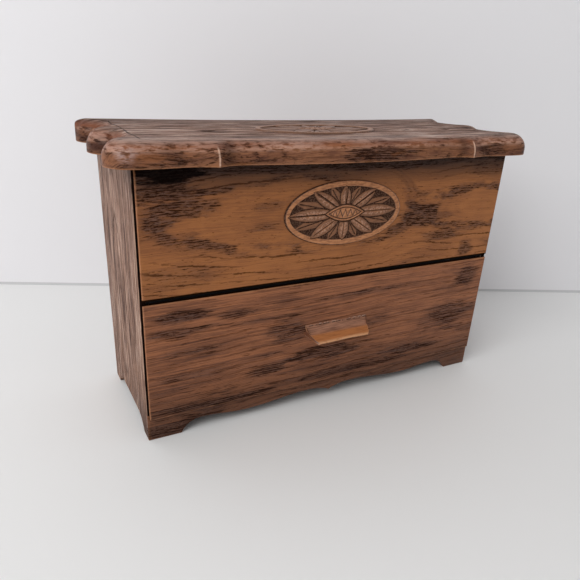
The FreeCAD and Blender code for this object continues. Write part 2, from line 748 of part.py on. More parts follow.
def hinge_pin(label, centre):
    """Pin with a peened head at each end."""
    body = new_body(label)
    shank = new_sketch(body, f"{label}_shank", "YZ_Plane", centre)
    draw_circle(shank, PIN_PLACE, LID_UNDER, size("pin_radius"))
    pad(body, shank, size("hinge_length"), both_ways=True)
    heads = {
        "outer": f"({centre}+{HALF_LENGTH})",
        "inner": f"({centre}-{HALF_LENGTH}-sizes.pin_head_height)",
    }
    for end, offset in heads.items():
        head = new_sketch(body, f"{label}_head_{end}", "YZ_Plane", offset)
        draw_circle(head, PIN_PLACE, LID_UNDER, size("pin_head_radius"))
        pad(body, head, size("pin_head_height"))
    return body


LEAF_LOW = f"({LID_UNDER}-sizes.leaf_height)"
LEAF_HIGH = f"({LID_UNDER}+sizes.leaf_height)"
LEAF = size("leaf_thickness")
body_leaf_outline = [
    (rear(LEAF_LOW), LEAF_LOW),
    (f"({rear(LEAF_LOW)}+{LEAF})", LEAF_LOW),
    (f"({rear(LID_UNDER)}+{LEAF})", LID_UNDER),
    (rear(LID_UNDER), LID_UNDER),
]
lid_leaf_outline = rectangle(REAR_TOP, f"({REAR_TOP}+{LEAF})", LID_UNDER, LEAF_HIGH)
for side, centre in HINGE_CENTRES.items():
    middle = rectangle(
        f"({centre}-{HALF_MIDDLE}-{HALF_GAP})",
        f"({centre}+{HALF_MIDDLE}+{HALF_GAP})",
        f"({LID_UNDER}-{PIN_OFFSET})",
        f"({LID_UNDER}+2*{PIN_OFFSET})",
    )
    ends = [
        rectangle(
            f"({centre}{sign}({HALF_MIDDLE}-{HALF_GAP}))",
            f"({centre}{sign}(2*{HALF_LENGTH}))",
            f"({LID_UNDER}-2*{PIN_OFFSET})",
            f"({LID_UNDER}+{PIN_OFFSET})",
        )
        for sign in "-+"
    ]
    hinge_leaf(f"hinge_{side}_body_leaf", centre, body_leaf_outline, [middle], BODY_SCREW_Z)
    hinge_leaf(f"hinge_{side}_lid_leaf", centre, lid_leaf_outline, ends, LID_SCREW_Z)
    hinge_pin(f"hinge_{side}_pin", centre)

hinge_screw_x = [f"({centre}{sign}{SPREAD})" for centre in HINGE_CENTRES.values() for sign in "-+"]
LEAN_SEAT = "(sizes.hinge_screw_head*tan(sizes.lean_angle*1deg))"
BODY_SEAT = f"({rear(BODY_SCREW_Z)}+{LEAF}+{LEAN_SEAT})"
LID_SEAT = f"({REAR_TOP}+{LEAF})"
HINGE_BITE = "(sizes.hinge_screw_length+sizes.screw_end_gap)"
body_holes = [(x, BODY_SCREW_Z) for x in hinge_screw_x]
lid_holes = [(x, LID_SCREW_Z) for x in hinge_screw_x]
SCREW = size("hinge_screw_radius")
drill(back_panel, "back_holes", body_holes, SCREW, BODY_SEAT, HINGE_BITE)
drill(lid, "lid_holes", lid_holes, SCREW, LID_SEAT, HINGE_BITE)

# Holes for the screws that hold the drawer front and the pull
DRAWER_SCREW_X = f"({DRAWER_HALF}-sizes.drawer_screw_inset)"
DRAWER_SCREW_LOW = f"({DRAWER_FACE_LOW}+sizes.drawer_screw_margin)"
DRAWER_SCREW_HIGH = f"({DRAWER_FACE_TOP}-sizes.drawer_screw_margin)"
drawer_holes = [
    (x, z)
    for x in (f"-{DRAWER_SCREW_X}", DRAWER_SCREW_X)
    for z in (DRAWER_SCREW_LOW, DRAWER_SCREW_HIGH)
]
PULL_SCREW_Z = f"({ROOT_TOP}-sizes.pull_screw_drop)"
pull_holes = [(f"-{size('pull_screw_place')}", PULL_SCREW_Z), (size("pull_screw_place"), PULL_SCREW_Z)]
DRAWER_SCREW = size("drawer_screw_radius")
PULL_SCREW = size("pull_screw_radius")
DRAWER_BITE = "(sizes.drawer_screw_length-sizes.drawer_wall+sizes.screw_end_gap)"
PULL_BITE = "(sizes.pull_screw_grip+sizes.screw_end_gap)"
drill(box_front, "box_front_holes", drawer_holes, DRAWER_SCREW, INNER_FRONT_BACK, size("drawer_wall"))
drill(box_front, "box_front_pull_holes", pull_holes, PULL_SCREW, INNER_FRONT_BACK, size("drawer_wall"))
drill(drawer_front, "drawer_front_holes", drawer_holes, DRAWER_SCREW, size("plug_depth"), DRAWER_BITE)
drill(
    drawer_front,
    "drawer_front_pull_holes",
    pull_holes,
    PULL_SCREW,
    size("plug_depth"),
    f"(sizes.plug_depth-{FACE_FRONT})",
)
drill(pull, "pull_holes", pull_holes, PULL_SCREW, FACE_FRONT, PULL_BITE)


def add_piece(label, shape):
    """Free shape under its label, moved like the bodies."""
    piece = doc.addObject("Part::Feature", label)
    piece.Label = label
    piece.Shape = shape
    shift = FreeCAD.Placement(Vector(0, number(FRONT_SHIFT), 0), Rotation())
    piece.Placement = shift.multiply(shape.Placement)
    return piece


def screw(x, z, seat, radius, head_radius, length):
    """Slotted pan-head screw that points to the front, its head seated on the plane Y = seat."""
    head_height = number(size("screw_head_height"))
    place = Vector(number(x), number(seat), number(z))
    shank = Part.makeCylinder(number(radius), number(length), place, Vector(0, -1, 0))
    head = Part.makeCylinder(number(head_radius), head_height, place, Vector(0, 1, 0))
    rim = [edge for edge in head.Edges if edge.BoundBox.YMin > place.y + head_height / 2 and edge.Closed]
    head = head.makeFillet(head_height / 2, rim)
    slot_width = number(radius) / 2
    slot_corner = place + Vector(-number(head_radius), head_height * 0.6, -slot_width / 2)
    slot = Part.makeBox(2 * number(head_radius), head_height, slot_width, slot_corner)
    return shank.fuse(head).removeSplitter().cut(slot)


def screws(label, places, seat, radius, head_radius, length):
    """Group of equal screws."""
    add_piece(label, Part.makeCompound([screw(x, z, seat, radius, head_radius, length) for x, z in places]))


HINGE_HEAD = size("hinge_screw_head")
DRAWER_HEAD = size("drawer_screw_head")
screws("hinge_body_screws", body_holes, BODY_SEAT, SCREW, HINGE_HEAD, size("hinge_screw_length"))
screws("hinge_lid_screws", lid_holes, LID_SEAT, SCREW, HINGE_HEAD, size("hinge_screw_length"))
screws(
    "drawer_front_screws",
    drawer_holes,
    INNER_FRONT_BACK,
    DRAWER_SCREW,
    DRAWER_HEAD,
    size("drawer_screw_length"),
)
PULL_SCREW_LENGTH = f"({INNER_FRONT_BACK}-{FACE_FRONT}+sizes.pull_screw_grip)"
screws("pull_screws", pull_holes, INNER_FRONT_BACK, PULL_SCREW, HINGE_HEAD, PULL_SCREW_LENGTH)

# Carved medallion: a rim, a sunk ground, sixteen petals and a pointed boss.
# Turns are the tips' places round an oval, in degrees, for one quarter;
# the quarter is repeated by mirroring.
FRONT_PETAL_TURNS = (0, 53.5, 90)
REAR_PETAL_TURNS = (27, 72)
ROOT_SHARE = 0.2
SAME_PLACE = 0.001


def oval(length, height, low, high):
    """Upright oval prism between two levels."""
    curve = Part.Ellipse(Vector(0, 0, low), length / 2, height / 2)
    return Part.Face(Part.Wire(curve.toShape())).extrude(Vector(0, 0, high - low))


def leaf_prism(root, tip, width, low, high):
    """Pointed leaf between two arcs from root to tip, as an upright prism."""
    run = tip - root
    across = Vector(-run.y, run.x, 0).normalize() * (width / 2)
    middle = (root + tip) / 2
    one_side = Part.Arc(root, middle + across, tip).toShape()
    other_side = Part.Arc(tip, middle - across, root).toShape()
    prism = Part.Face(Part.Wire([one_side, other_side])).extrude(Vector(0, 0, high - low))
    prism.translate(Vector(0, 0, low))
    return prism


def quarter_tips(turns):
    """Petal tips round the oval, mirrored from one quarter."""
    tips = []
    for turn in turns:
        x = number(size("petal_length")) * cos(radians(turn))
        y = number(size("petal_height")) * sin(radians(turn))
        for tip in (Vector(x, y, 0), Vector(-x, y, 0), Vector(-x, -y, 0), Vector(x, -y, 0)):
            if not any(tip.isEqual(known, SAME_PLACE) for known in tips):
                tips.append(tip)
    return tips


def medallion_shape():
    """Medallion that lies on Z = 0 and faces up, centred on the origin."""
    length = number(size("medallion_length"))
    height = number(size("medallion_height"))
    top = number(size("medallion_thickness"))
    rim = number(size("medallion_rim"))
    ground = top - number(size("ground_depth"))
    plate = oval(length, height, 0, top)
    sunk = oval(length - 2 * rim, height - 2 * rim, ground, 2 * top)
    pieces = []
    rows = (
        (REAR_PETAL_TURNS, "rear_petal_width", "rear_petal_drop"),
        (FRONT_PETAL_TURNS, "petal_width", "petal_top_drop"),
    )
    for turns, width, drop in rows:
        for tip in quarter_tips(turns):
            level = top - number(size(drop))
            pieces.append(leaf_prism(tip * ROOT_SHARE, tip, number(size(width)), ground / 2, level))
    half_boss = Vector(number(size("boss_length")) / 2, 0, 0)
    pieces.append(leaf_prism(-half_boss, half_boss, number(size("boss_height")), ground / 2, top))
    return plate.cut(sunk).multiFuse(pieces).removeSplitter()


carving = medallion_shape()
front_carving = carving.copy()
front_carving.rotate(Vector(), Vector(1, 0, 0), 90)
front_carving.translate(Vector(
    number(size("front_medallion_offset")),
    number(FACE_FRONT),
    number(f"(({UPPER_FACE_LOW}+{UPPER_FACE_TOP})/2+sizes.front_medallion_lift)"),
))
add_piece("front_medallion", front_carving)

# The lid's medallion is seated where the sagging top carries its two ends
END_X = f"(abs({size('lid_medallion_offset')})+sizes.medallion_length/2)"
SEAT_DROP = f"({SAG}*(1-{END_X}*{END_X}/({SPAN}*{SPAN})))"
lid_carving = carving.copy()
lid_carving.translate(Vector(
    number(size("lid_medallion_offset")),
    number(f"(({REAR_TOP}-sizes.lid_bow)/2-sizes.lid_medallion_advance)"),
    number(f"({LID_TOP}-{SEAT_DROP})"),
))
add_piece("lid_medallion", lid_carving)

# Every object has to be sound before anything is written
doc.recompute()
for item in doc.Objects:
    if "Invalid" in item.State or "Error" in item.State:
        raise RuntimeError(f"{item.Label} failed")
pieces = [item for item in doc.Objects if item.TypeId in ("PartDesign::Body", "Part::Feature")]
for piece in pieces:
    if piece.Shape.isNull() or not piece.Shape.isValid():
        raise RuntimeError(f"{piece.Label} has no sound shape")

os.makedirs("parts", exist_ok=True)
for piece in pieces:
    piece.Shape.exportStep(f"parts/{piece.Label}.step")
whole = Part.makeCompound([piece.Shape for piece in pieces])
box = whole.BoundBox
print(f"{len(pieces)} nodes, {box.XLength:.1f} x {box.YLength:.1f} x {box.ZLength:.1f} mm")
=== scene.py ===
# %% [markdown]
# The object is a small tabletop chest, moulded to look like carved dark oak.
# It has a shaped lid on two hinges, an open upper compartment behind a front
# panel, and one drawer. The exact solids come first, as a fixed frame, so that
# everything added here has something true to sit on.

# %% Load the frame
import math
from collections import namedtuple
from functools import partialmethod

import bmesh
import bpy
import numpy as np
from mathutils import Matrix, Vector


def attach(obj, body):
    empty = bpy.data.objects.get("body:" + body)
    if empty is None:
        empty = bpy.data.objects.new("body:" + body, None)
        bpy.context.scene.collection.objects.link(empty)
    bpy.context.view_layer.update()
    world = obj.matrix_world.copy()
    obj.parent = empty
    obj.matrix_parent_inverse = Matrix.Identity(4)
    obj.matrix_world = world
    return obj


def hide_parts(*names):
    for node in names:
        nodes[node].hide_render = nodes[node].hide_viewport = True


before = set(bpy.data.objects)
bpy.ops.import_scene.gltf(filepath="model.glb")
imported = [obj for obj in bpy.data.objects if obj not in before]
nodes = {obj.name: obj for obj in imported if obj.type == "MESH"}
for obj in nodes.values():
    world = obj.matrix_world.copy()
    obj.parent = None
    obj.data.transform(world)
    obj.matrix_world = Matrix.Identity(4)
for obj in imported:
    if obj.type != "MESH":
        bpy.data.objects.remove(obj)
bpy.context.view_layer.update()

MM = 0.001
scene = bpy.context.scene

# %% [markdown]
# The picture was taken a little above the lid and from the left. A camera has
# a place, a turn and a lens. The turn could be found with a tracking
# constraint, but three angles say it exactly: how far it looks to the right,
# how far down, and how much it leans to one side.

# %% Camera
CAMERA_PLACE = (-0.22224, -0.37217, 0.24991)
LOOK_RIGHT = math.radians(29.008)
LOOK_DOWN = math.radians(22.106)
LEAN = math.radians(3.268)
LENS = 35.616


def new_object(name, data):
    """Object with its data, linked into the scene."""
    item = bpy.data.objects.new(name, data)
    scene.collection.objects.link(item)
    return item


forward = Vector((
    math.sin(LOOK_RIGHT) * math.cos(LOOK_DOWN),
    math.cos(LOOK_RIGHT) * math.cos(LOOK_DOWN),
    -math.sin(LOOK_DOWN),
))
level_right = Vector((math.cos(LOOK_RIGHT), -math.sin(LOOK_RIGHT), 0))
level_up = level_right.cross(forward)
picture_right = level_right * math.cos(LEAN) + level_up * math.sin(LEAN)
picture_up = level_up * math.cos(LEAN) - level_right * math.sin(LEAN)

camera_data = bpy.data.cameras.new("camera")
camera_data.lens = LENS
camera_data.sensor_width = 36
camera_data.clip_start = 0.01
camera = new_object("camera", camera_data)
turn = Matrix((picture_right, picture_up, -forward)).transposed().to_4x4()
camera.matrix_world = Matrix.Translation(CAMERA_PLACE) @ turn
scene.camera = camera
print("camera looks along", [round(v, 3) for v in forward])

# %% [markdown]
# Every new surface below is a grid: rows and columns of points that a formula
# places all at once. One helper turns such a grid into a mesh. It welds the
# points that meet at seams and poles, makes the faces look outwards, and
# shades them smooth except where they meet at a sharp angle.

# %% From a grid of points to a piece
def grid_quads(rows, columns, around):
    """Indices of the four corners of every cell; around joins the last column to the first."""
    row = np.arange(rows - 1)[:, None] * columns
    column = np.arange(columns if around else columns - 1)[None, :]
    after = (column + 1) % columns
    cells = (row + column, row + after, row + columns + after, row + columns + column)
    return np.stack(cells, axis=-1).reshape(-1, 4)


def finish_mesh(mesh, weld, sharp):
    """Weld, turn the faces outwards and shade."""
    work = bmesh.new()
    work.from_mesh(mesh)
    bmesh.ops.remove_doubles(work, verts=work.verts, dist=weld)
    bmesh.ops.recalc_face_normals(work, faces=work.faces)
    work.to_mesh(mesh)
    work.free()
    mesh.shade_smooth()
    mesh.set_sharp_from_angle(angle=math.radians(sharp))


def new_piece(name, points, faces, marks=None, weld=0.00001, sharp=35):
    """Object made of points in millimetres; marks are named values, one for each point."""
    mesh = bpy.data.meshes.new(name)
    mesh.from_pydata((points.reshape(-1, 3) * MM).tolist(), [], faces.tolist())
    for mark, values in (marks or {}).items():
        layer = mesh.attributes.new(mark, "FLOAT", "POINT")
        layer.data.foreach_set("value", values.reshape(-1).astype(np.float32))
    finish_mesh(mesh, weld, sharp)
    piece = new_object(name, mesh)
    print(name, len(mesh.vertices), "points", len(mesh.polygons), "faces")
    return piece


def ease(share):
    """Smooth step: 0 below 0, 1 above 1, and an S between."""
    share = np.clip(share, 0, 1)
    return share * share * (3 - 2 * share)


# %% [markdown]
# The places below are the ones the solids were drawn with. All were measured
# from the plane of the plinth's front, so one shift brings them into the
# object's own frame. Both fronts stand a little before that plane.

# %% Shared places, in millimetres
FRONT_SHIFT = -43.943
FRONT_PROUD = 2.4
FACE_FRONT = FRONT_SHIFT - FRONT_PROUD
LID_UNDER = 188.3
LID_THICKNESS = 15.3
LID_HALF = 162.587
LID_REAR = 101.487
SAG = 1.4


def lid_top(x):
    """Height of the lid's top: a shallow arc that hangs by SAG between the two ends."""
    return LID_UNDER + LID_THICKNESS - SAG * (1 - (x / LID_HALF) ** 2)


# %% [markdown]
# The lid's outline is a chain of arcs: a bow in the middle, a hollow each side
# of a sharp arris, a long swell, and three lobes at each end. An offset of an
# arc is an arc with the same centre, so the outline can be drawn again at any
# distance inside itself, and neighbours meet where two circles cross. That is
# more exact than pushing points along their normals, and it keeps the arrises
# sharp all the way up the rounded edge.

# %% Outline of the lid at any inset
LOBE = 14.5
LOBE_FRONT = -13
FRONT_LOBE = np.array([LID_HALF - LOBE, LOBE_FRONT + LOBE])
REAR_LOBE = np.array([LID_HALF - 1.4 - LOBE, LID_REAR - 4])
MID_LOBE = np.array([LID_HALF - 0.4 - LOBE, (FRONT_LOBE[1] + REAR_LOBE[1]) / 2])
HALF_PITCH = (REAR_LOBE[1] - FRONT_LOBE[1]) / 4
COVE_DEPTH = 13.1
SIDE_COVE = (HALF_PITCH**2 + COVE_DEPTH**2) / (2 * COVE_DEPTH) - LOBE
ARRIS = np.array([LID_HALF - 63.3, -15.4])
BOW_END = np.array([ARRIS[0] - 21.3, -12])
SWELL_START = np.array([ARRIS[0] + 19.7, -11.6])
SWELL_END = np.array([FRONT_LOBE[0], LOBE_FRONT])
BOW_FRONT = -17.3
BOW_RISE = 5.3
BOW_CURVE = (BOW_END[0] ** 2 + BOW_RISE**2) / (2 * BOW_RISE)
INNER_HOLLOW = 32
OUTER_HOLLOW = 60
SWELL_CURVE = 150
BULLNOSE = 11
REAR_ROUND = 4


def arc_centre(start, end, radius, side):
    """Centre of the arc from start to end; side +1 bulges right of the travel, -1 left."""
    chord = end - start
    right = np.array([chord[1], -chord[0]]) / np.hypot(*chord) * side
    return (start + end) / 2 - right * math.sqrt(radius**2 - chord @ chord / 4)


def cove_centre(before, after):
    """Centre of the hollow that touches two equal lobes from outside."""
    run = after - before
    outward = np.array([run[1], -run[0]])
    reach = math.sqrt((LOBE + SIDE_COVE) ** 2 / (run @ run) - 0.25)
    return (before + after) / 2 + outward * reach


def crossing(centre_a, radius_a, centre_b, radius_b, near):
    """The point, nearer to near, where two circles cross."""
    run = centre_b - centre_a
    distance = np.hypot(*run)
    along = (distance**2 + radius_a**2 - radius_b**2) / (2 * distance)
    off = math.sqrt(max(radius_a**2 - along**2, 0))
    run = run / distance
    middle = centre_a + run * along
    options = [middle + sign * off * np.array([-run[1], run[0]]) for sign in (1, -1)]
    return min(options, key=lambda point: np.hypot(*(point - near)))


# centre, radius, +1 for a swelling arc and -1 for a hollow one, points along it
ARCS = [
    (np.array([0, BOW_FRONT + BOW_CURVE]), BOW_CURVE, 1, 44),
    (arc_centre(BOW_END, ARRIS, INNER_HOLLOW, -1), INNER_HOLLOW, -1, 14),
    (arc_centre(ARRIS, SWELL_START, OUTER_HOLLOW, -1), OUTER_HOLLOW, -1, 12),
    (arc_centre(SWELL_START, SWELL_END, SWELL_CURVE, 1), SWELL_CURVE, 1, 16),
    (FRONT_LOBE, LOBE, 1, 16),
    (cove_centre(FRONT_LOBE, MID_LOBE), SIDE_COVE, -1, 12),
    (MID_LOBE, LOBE, 1, 16),
    (cove_centre(MID_LOBE, REAR_LOBE), SIDE_COVE, -1, 12),
    (REAR_LOBE, LOBE, 1, 16),
]
CORNERS = [BOW_END, ARRIS, SWELL_START, SWELL_END]
REAR_COUNT = 86


def right_outline(inset, rear_inset):
    """Right half of the outline from the middle of the bow round to the middle of the rear.

    A swelling arc's radius shrinks by the inset, a hollow arc's grows by it.
    """
    radii = [radius - side * inset for _, radius, side, _ in ARCS]
    joints = [np.array([0, BOW_FRONT + inset])]
    for index, (arc, following) in enumerate(zip(ARCS, ARCS[1:])):
        if index < len(CORNERS):
            near = CORNERS[index] + np.array([0, inset])
            joints.append(crossing(arc[0], radii[index], following[0], radii[index + 1], near))
        else:
            run = following[0] - arc[0]
            joints.append(arc[0] + run * radii[index] / np.hypot(*run))
    rear = LID_REAR - rear_inset
    rise = rear - REAR_LOBE[1]
    joints.append(REAR_LOBE + np.array([math.sqrt(max(radii[-1] ** 2 - rise**2, 0)), rise]))
    runs = []
    for (centre, _, side, count), radius, start, end in zip(ARCS, radii, joints, joints[1:]):
        first = math.atan2(*(start - centre)[::-1])
        last = math.atan2(*(end - centre)[::-1])
        sweep = (last - first + math.pi) % (2 * math.pi) - math.pi
        turns = first + sweep * np.arange(count) / count
        runs.append(centre + radius * np.stack([np.cos(turns), np.sin(turns)], axis=1))
    share = np.linspace(0, 1, REAR_COUNT)[:, None]
    runs.append(joints[-1] * (1 - share) + np.array([0, rear]) * share)
    return np.concatenate(runs)


outline = right_outline(0, 0)
print("outline points", len(outline), "widest", outline[:, 0].max().round(2))

# %% [markdown]
# The lid is now a stack of rings. From the middle of the underside they grow
# out to the edge, climb the side, roll over the bullnose and close again along
# a line in the middle of the top. On the real lid the rolled edge is dented,
# as if worked with a gouge, so a few long waves press it inwards.

# %% Lid
SPINE_END = 46
SPINE_DEPTH = 42
UNDER_ROWS = 9
BEVEL = 0.45
BEVEL_TURNS = (0.35, 0.7, 1)
ROLL_ROWS = 15
TOP_ROWS = 26
DENT_DEPTH = 0.5
VALLEY_COLUMNS = 5


def ring_at(inset, rear_inset):
    """Whole outline at an inset: the right half, then its mirror image back to the start."""
    half = right_outline(inset, rear_inset)
    return np.concatenate([half, half[-2:0:-1] * np.array([-1, 1])])


def spine_of(ring):
    """For every ring point the point of the middle line that it closes to, clear of the lobes."""
    reach = LID_HALF - SPINE_END
    x = ring[:, 0]
    return np.stack([np.clip(x, -reach, reach), np.full_like(x, SPINE_DEPTH)], axis=1)


def dents(x, y, z):
    """Low waves along the rolled edge: a sum of two products of sines."""
    long_wave = np.sin(x * 0.11 + 1.3) * np.sin(y * 0.13 + x * 0.031)
    short_wave = np.sin(x * 0.37 + z * 0.5) * np.sin(y * 0.41 - 0.7)
    return 0.6 * long_wave + 0.4 * short_wave


rings = []
roll = []


def add_ring(flat, height, rolled=0):
    """Put a ring on the stack; rolled is the share of the dents that it takes."""
    rings.append(np.column_stack([flat, np.broadcast_to(height, len(flat))]))
    roll.append(rolled)


lower_ring = ring_at(BEVEL, BEVEL)
for share in np.linspace(1, 0, UNDER_ROWS) ** 0.8:
    add_ring(lower_ring + (spine_of(lower_ring) - lower_ring) * share, LID_UNDER)
for turn_share in BEVEL_TURNS:
    inset = BEVEL * (1 - math.sin(turn_share * math.pi / 2))
    rise = BEVEL * (1 - math.cos(turn_share * math.pi / 2))
    add_ring(ring_at(inset, inset), LID_UNDER + rise)
edge_ring = ring_at(0, 0)
near_rear = ease((edge_ring[:, 1] - (LID_REAR - 6)) / 6)
for turn_share in np.linspace(0, 1, ROLL_ROWS):
    angle = turn_share * math.pi / 2
    sweep = 1 - math.cos(angle)
    ring = ring_at(BULLNOSE * sweep, REAR_ROUND * sweep)
    radius = BULLNOSE * (1 - near_rear) + REAR_ROUND * near_rear
    add_ring(ring, lid_top(ring[:, 0]) - radius * (1 - math.sin(angle)), math.sin(2 * angle))
top_ring = rings[-1][:, :2]
for share in np.linspace(0, 1, TOP_ROWS)[1:]:
    flat = top_ring + (spine_of(top_ring) - top_ring) * share
    add_ring(flat, lid_top(flat[:, 0]))
lid_points = np.stack(rings)
lid_roll = np.array(roll)[:, None] * (1 - near_rear)[None, :]
push = DENT_DEPTH * lid_roll * dents(*np.moveaxis(lid_points, -1, 0))
outward = edge_ring - spine_of(edge_ring)
outward = outward / np.linalg.norm(outward, axis=1, keepdims=True)
lid_points[:, :, :2] -= outward[None] * np.abs(push)[:, :, None]
lid_points[:, :, 1] += FRONT_SHIFT
lid_faces = grid_quads(*lid_points.shape[:2], around=True)
ring_number = np.arange(len(rings))[:, None] * np.ones(len(edge_ring))
past_edge = UNDER_ROWS + len(BEVEL_TURNS) + ROLL_ROWS
lid_edge = ((ring_number >= UNDER_ROWS) & (ring_number < past_edge)).astype(float)
column = np.arange(len(edge_ring)) * np.ones_like(ring_number)
column = np.minimum(column, len(edge_ring) - column)
arris_column = ARCS[0][3] + ARCS[1][3]
# painted highlight along the sharp arris
arris_glint_mark = np.clip(1 - np.abs(column - arris_column) / 0.8, 0, 1)
# painted shade in the hollow just inside the arris
valley_shade_mark = ease(1 - np.abs(column - arris_column + VALLEY_COLUMNS) / VALLEY_COLUMNS)
valley_shade_mark = valley_shade_mark * (column < arris_column)
marks = {"edge": lid_edge, "arris": arris_glint_mark, "valley_shade": valley_shade_mark}
lid = new_piece("shaped_lid", lid_points, lid_faces, marks, sharp=24)
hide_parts("lid_panel")
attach(lid, "lid")

# %% [markdown]
# The carved medallion is an oval with a flat rim, a sunk ground, sixteen
# pointed petals with a vein each, and a pointed boss with hatching. It could be
# sculpted by hand, but relief this shallow is a height over a flat oval: the
# rear petals rise from the ground, then the front petals and the boss cover
# what lies below them, each inside a thin groove.

# %% Relief of the medallion
HALF_LENGTH = 47.8
HALF_HEIGHT = 22.9
RELIEF = 1.2
GROUND = 0.25
RIM_WIDTH = 4.5
REAR_PETAL = (7.8, 0.95)
FRONT_PETAL = (9.4, 1.15)
GROOVE = 0.45
BOSS = (16.3, 6)
BOSS_GROOVE = (17.2, 6.6)
FRONT_TIPS = [
    (-45.8, 0), (-26.8, 16.2), (-0.9, 19.6), (25.2, 15.8),
    (44.8, 0), (25.4, -16.4), (-0.9, -19.8), (-27.4, -16.4),
]
REAR_TIPS = [
    (-41.2, 9.4), (-13, 19), (11.4, 18.4), (39.2, 9.2),
    (39.2, -9.2), (11.2, -18.4), (-13.2, -18.5), (-41.4, -9.5),
]


def leaf(x, y, tip, width):
    """How far inside a pointed leaf's edge, how far from its middle line, and the share along it.

    The half width at a place is that of two mirrored arcs, widest in the middle.
    """
    length = math.hypot(*tip)
    along = (x * tip[0] + y * tip[1]) / length
    across = (y * tip[0] - x * tip[1]) / length
    place = along / length
    half = width / 2 * np.clip(1 - (2 * place - 1.12) ** 2 / 0.86**2, 0, None) ** 0.8
    return half - np.abs(across), np.abs(across), place


def leaf_relief(x, y, tip, width, top):
    """Height of one petal: a steep edge, a gently rounded back and a vein cut along its middle."""
    inside, across, place = leaf(x, y, tip, width)
    body = ease(inside / 0.9)
    crown = 0.25 * ease(inside / (width * 0.5))
    vein = 0.6 * (1 - ease(across / 0.8)) * ease((place - 0.25) * 8) * ease((0.93 - place) * 12)
    height = GROUND + (top - GROUND) * body * (0.75 + crown) - vein * body
    return np.where(inside > -0.1, height, GROUND)


def pointed_oval(x, y, half_length, half_height):
    """How far inside an oval with pointed ends a place is, measured upwards."""
    return half_height * np.clip(1 - (np.abs(x) / half_length) ** 1.8, 0, None) - np.abs(y)


def boss_relief(x, y):
    """Pointed boss: an outer lip, a groove, then an oval field with zigzag hatching."""
    inside = pointed_oval(x, y, *BOSS)
    lip = GROUND + (RELIEF - GROUND) * ease(inside / 0.7)
    groove = 0.75 * (1 - ease(np.abs(inside - 1.9) / 0.6))
    field = ease((inside - 2.3) / 0.5)
    zigzag = np.abs(((x / 4.2) % 1) - 0.5) * 2 - (y / 5 + 0.5)
    hatch = 0.6 * (1 - ease(np.abs(zigzag) / 0.3)) * field
    return np.where(inside > 0, lip - groove - hatch, 0)


def medallion_relief(x, y):
    """Height over the oval: ground and rim, rear petals, front petals, boss."""
    stretch = np.sqrt((x / HALF_LENGTH) ** 2 + (y / HALF_HEIGHT) ** 2)
    gradient = np.sqrt((x / HALF_LENGTH**2) ** 2 + (y / HALF_HEIGHT**2) ** 2) / np.maximum(stretch, 1e-6)
    from_edge = (1 - stretch) / np.maximum(gradient, 1e-6)
    rim_step = ease((RIM_WIDTH - from_edge) / 0.8)
    outer_roll = 0.55 * (1 - ease(from_edge / 0.9)) ** 2
    height = GROUND + (RELIEF - GROUND) * rim_step - outer_roll
    for tip in REAR_TIPS:
        height = np.maximum(height, leaf_relief(x, y, tip, *REAR_PETAL) * (from_edge > 1.5))
    for tip in FRONT_TIPS:
        inside, _, _ = leaf(x, y, tip, FRONT_PETAL[0])
        open_ground = (np.abs(inside) < GROOVE) & (from_edge > 4.1)
        groove = np.where(open_ground, np.minimum(height, GROUND + 0.15), height)
        below = np.where(inside > -GROOVE, groove, height)
        height = np.where(inside > 0.05, leaf_relief(x, y, tip, *FRONT_PETAL), below)
    boss = boss_relief(x, y)
    below = np.where(pointed_oval(x, y, *BOSS_GROOVE) > 0, np.minimum(height, GROUND + 0.1), height)
    return np.where(boss > 0, boss, below)


# %% [markdown]
# One medallion stands on the upper front, and the same carving lies on the lid,
# bent to the shallow arc of its top. A square grid would cut the oval's edge
# into steps, so this one is polar: its outer row is the edge itself.

# %% Medallions
AROUND = 520
OUTWARDS = 118
SKIRT = -0.4


def medallion(name, node, body, place, upright, outline_stain_and_shade):
    """Medallion at a place: upright ones stand on the front, the other lies on the lid."""
    turns = np.linspace(0, 2 * math.pi, AROUND, endpoint=False)[None, :]
    shares = (np.linspace(0, 1, OUTWARDS) ** 0.9)[:, None]
    x = HALF_LENGTH * shares * np.cos(turns)
    y = HALF_HEIGHT * shares * np.sin(turns)
    height = medallion_relief(x, y)
    deep = 1 - np.clip((height - GROUND) / (RELIEF - GROUND), 0, 1)
    # dark line round the outer edge: partly stain in its groove, partly painted shadow, darkest at the
    # left and faintest at the right
    stained_and_shaded = ease((shares - 0.972) / 0.02) * outline_stain_and_shade * (0.66 - 0.34 * np.cos(turns))
    deep = np.where(shares > 0.965, stained_and_shaded, deep)
    flat = np.stack([x, y, height], axis=-1)
    skirt = flat[-1:].copy()
    skirt[..., 2] = SKIRT
    back = np.zeros_like(skirt)
    back[..., 2] = SKIRT
    points = np.concatenate([flat, skirt, back])
    marks = {"hollow": np.concatenate([deep, deep[-1:], deep[-1:]])}
    if upright:
        points = np.stack([points[..., 0], -points[..., 2], points[..., 1]], axis=-1)
    else:
        points[..., 2] += lid_top(points[..., 0] + place[0]) - place[2]
    points = points + np.array(place)
    piece = new_piece(name, points, grid_quads(*points.shape[:2], around=True), marks, weld=1e-6, sharp=60)
    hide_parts(node)
    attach(piece, body)


FRONT_PLACE = (-1.6, FACE_FRONT, 151.25)
LID_PLACE = (-5, 38.0935 + FRONT_SHIFT, lid_top(0))
medallion("carved_front_medallion", "front_medallion", "carcass", FRONT_PLACE, True, 1)
medallion("carved_lid_medallion", "lid_medallion", "lid", LID_PLACE, False, 0.35)

# %% [markdown]
# The pull is a thin lip that curves out of the drawer front and slopes down.
# Its section is a hollow arc, a straight slope, a rounded tip and a flat
# underside. Carried along the width it makes the whole handle. The plan narrows
# towards the tip and turns two round corners, so each point of the section has
# its own half width.

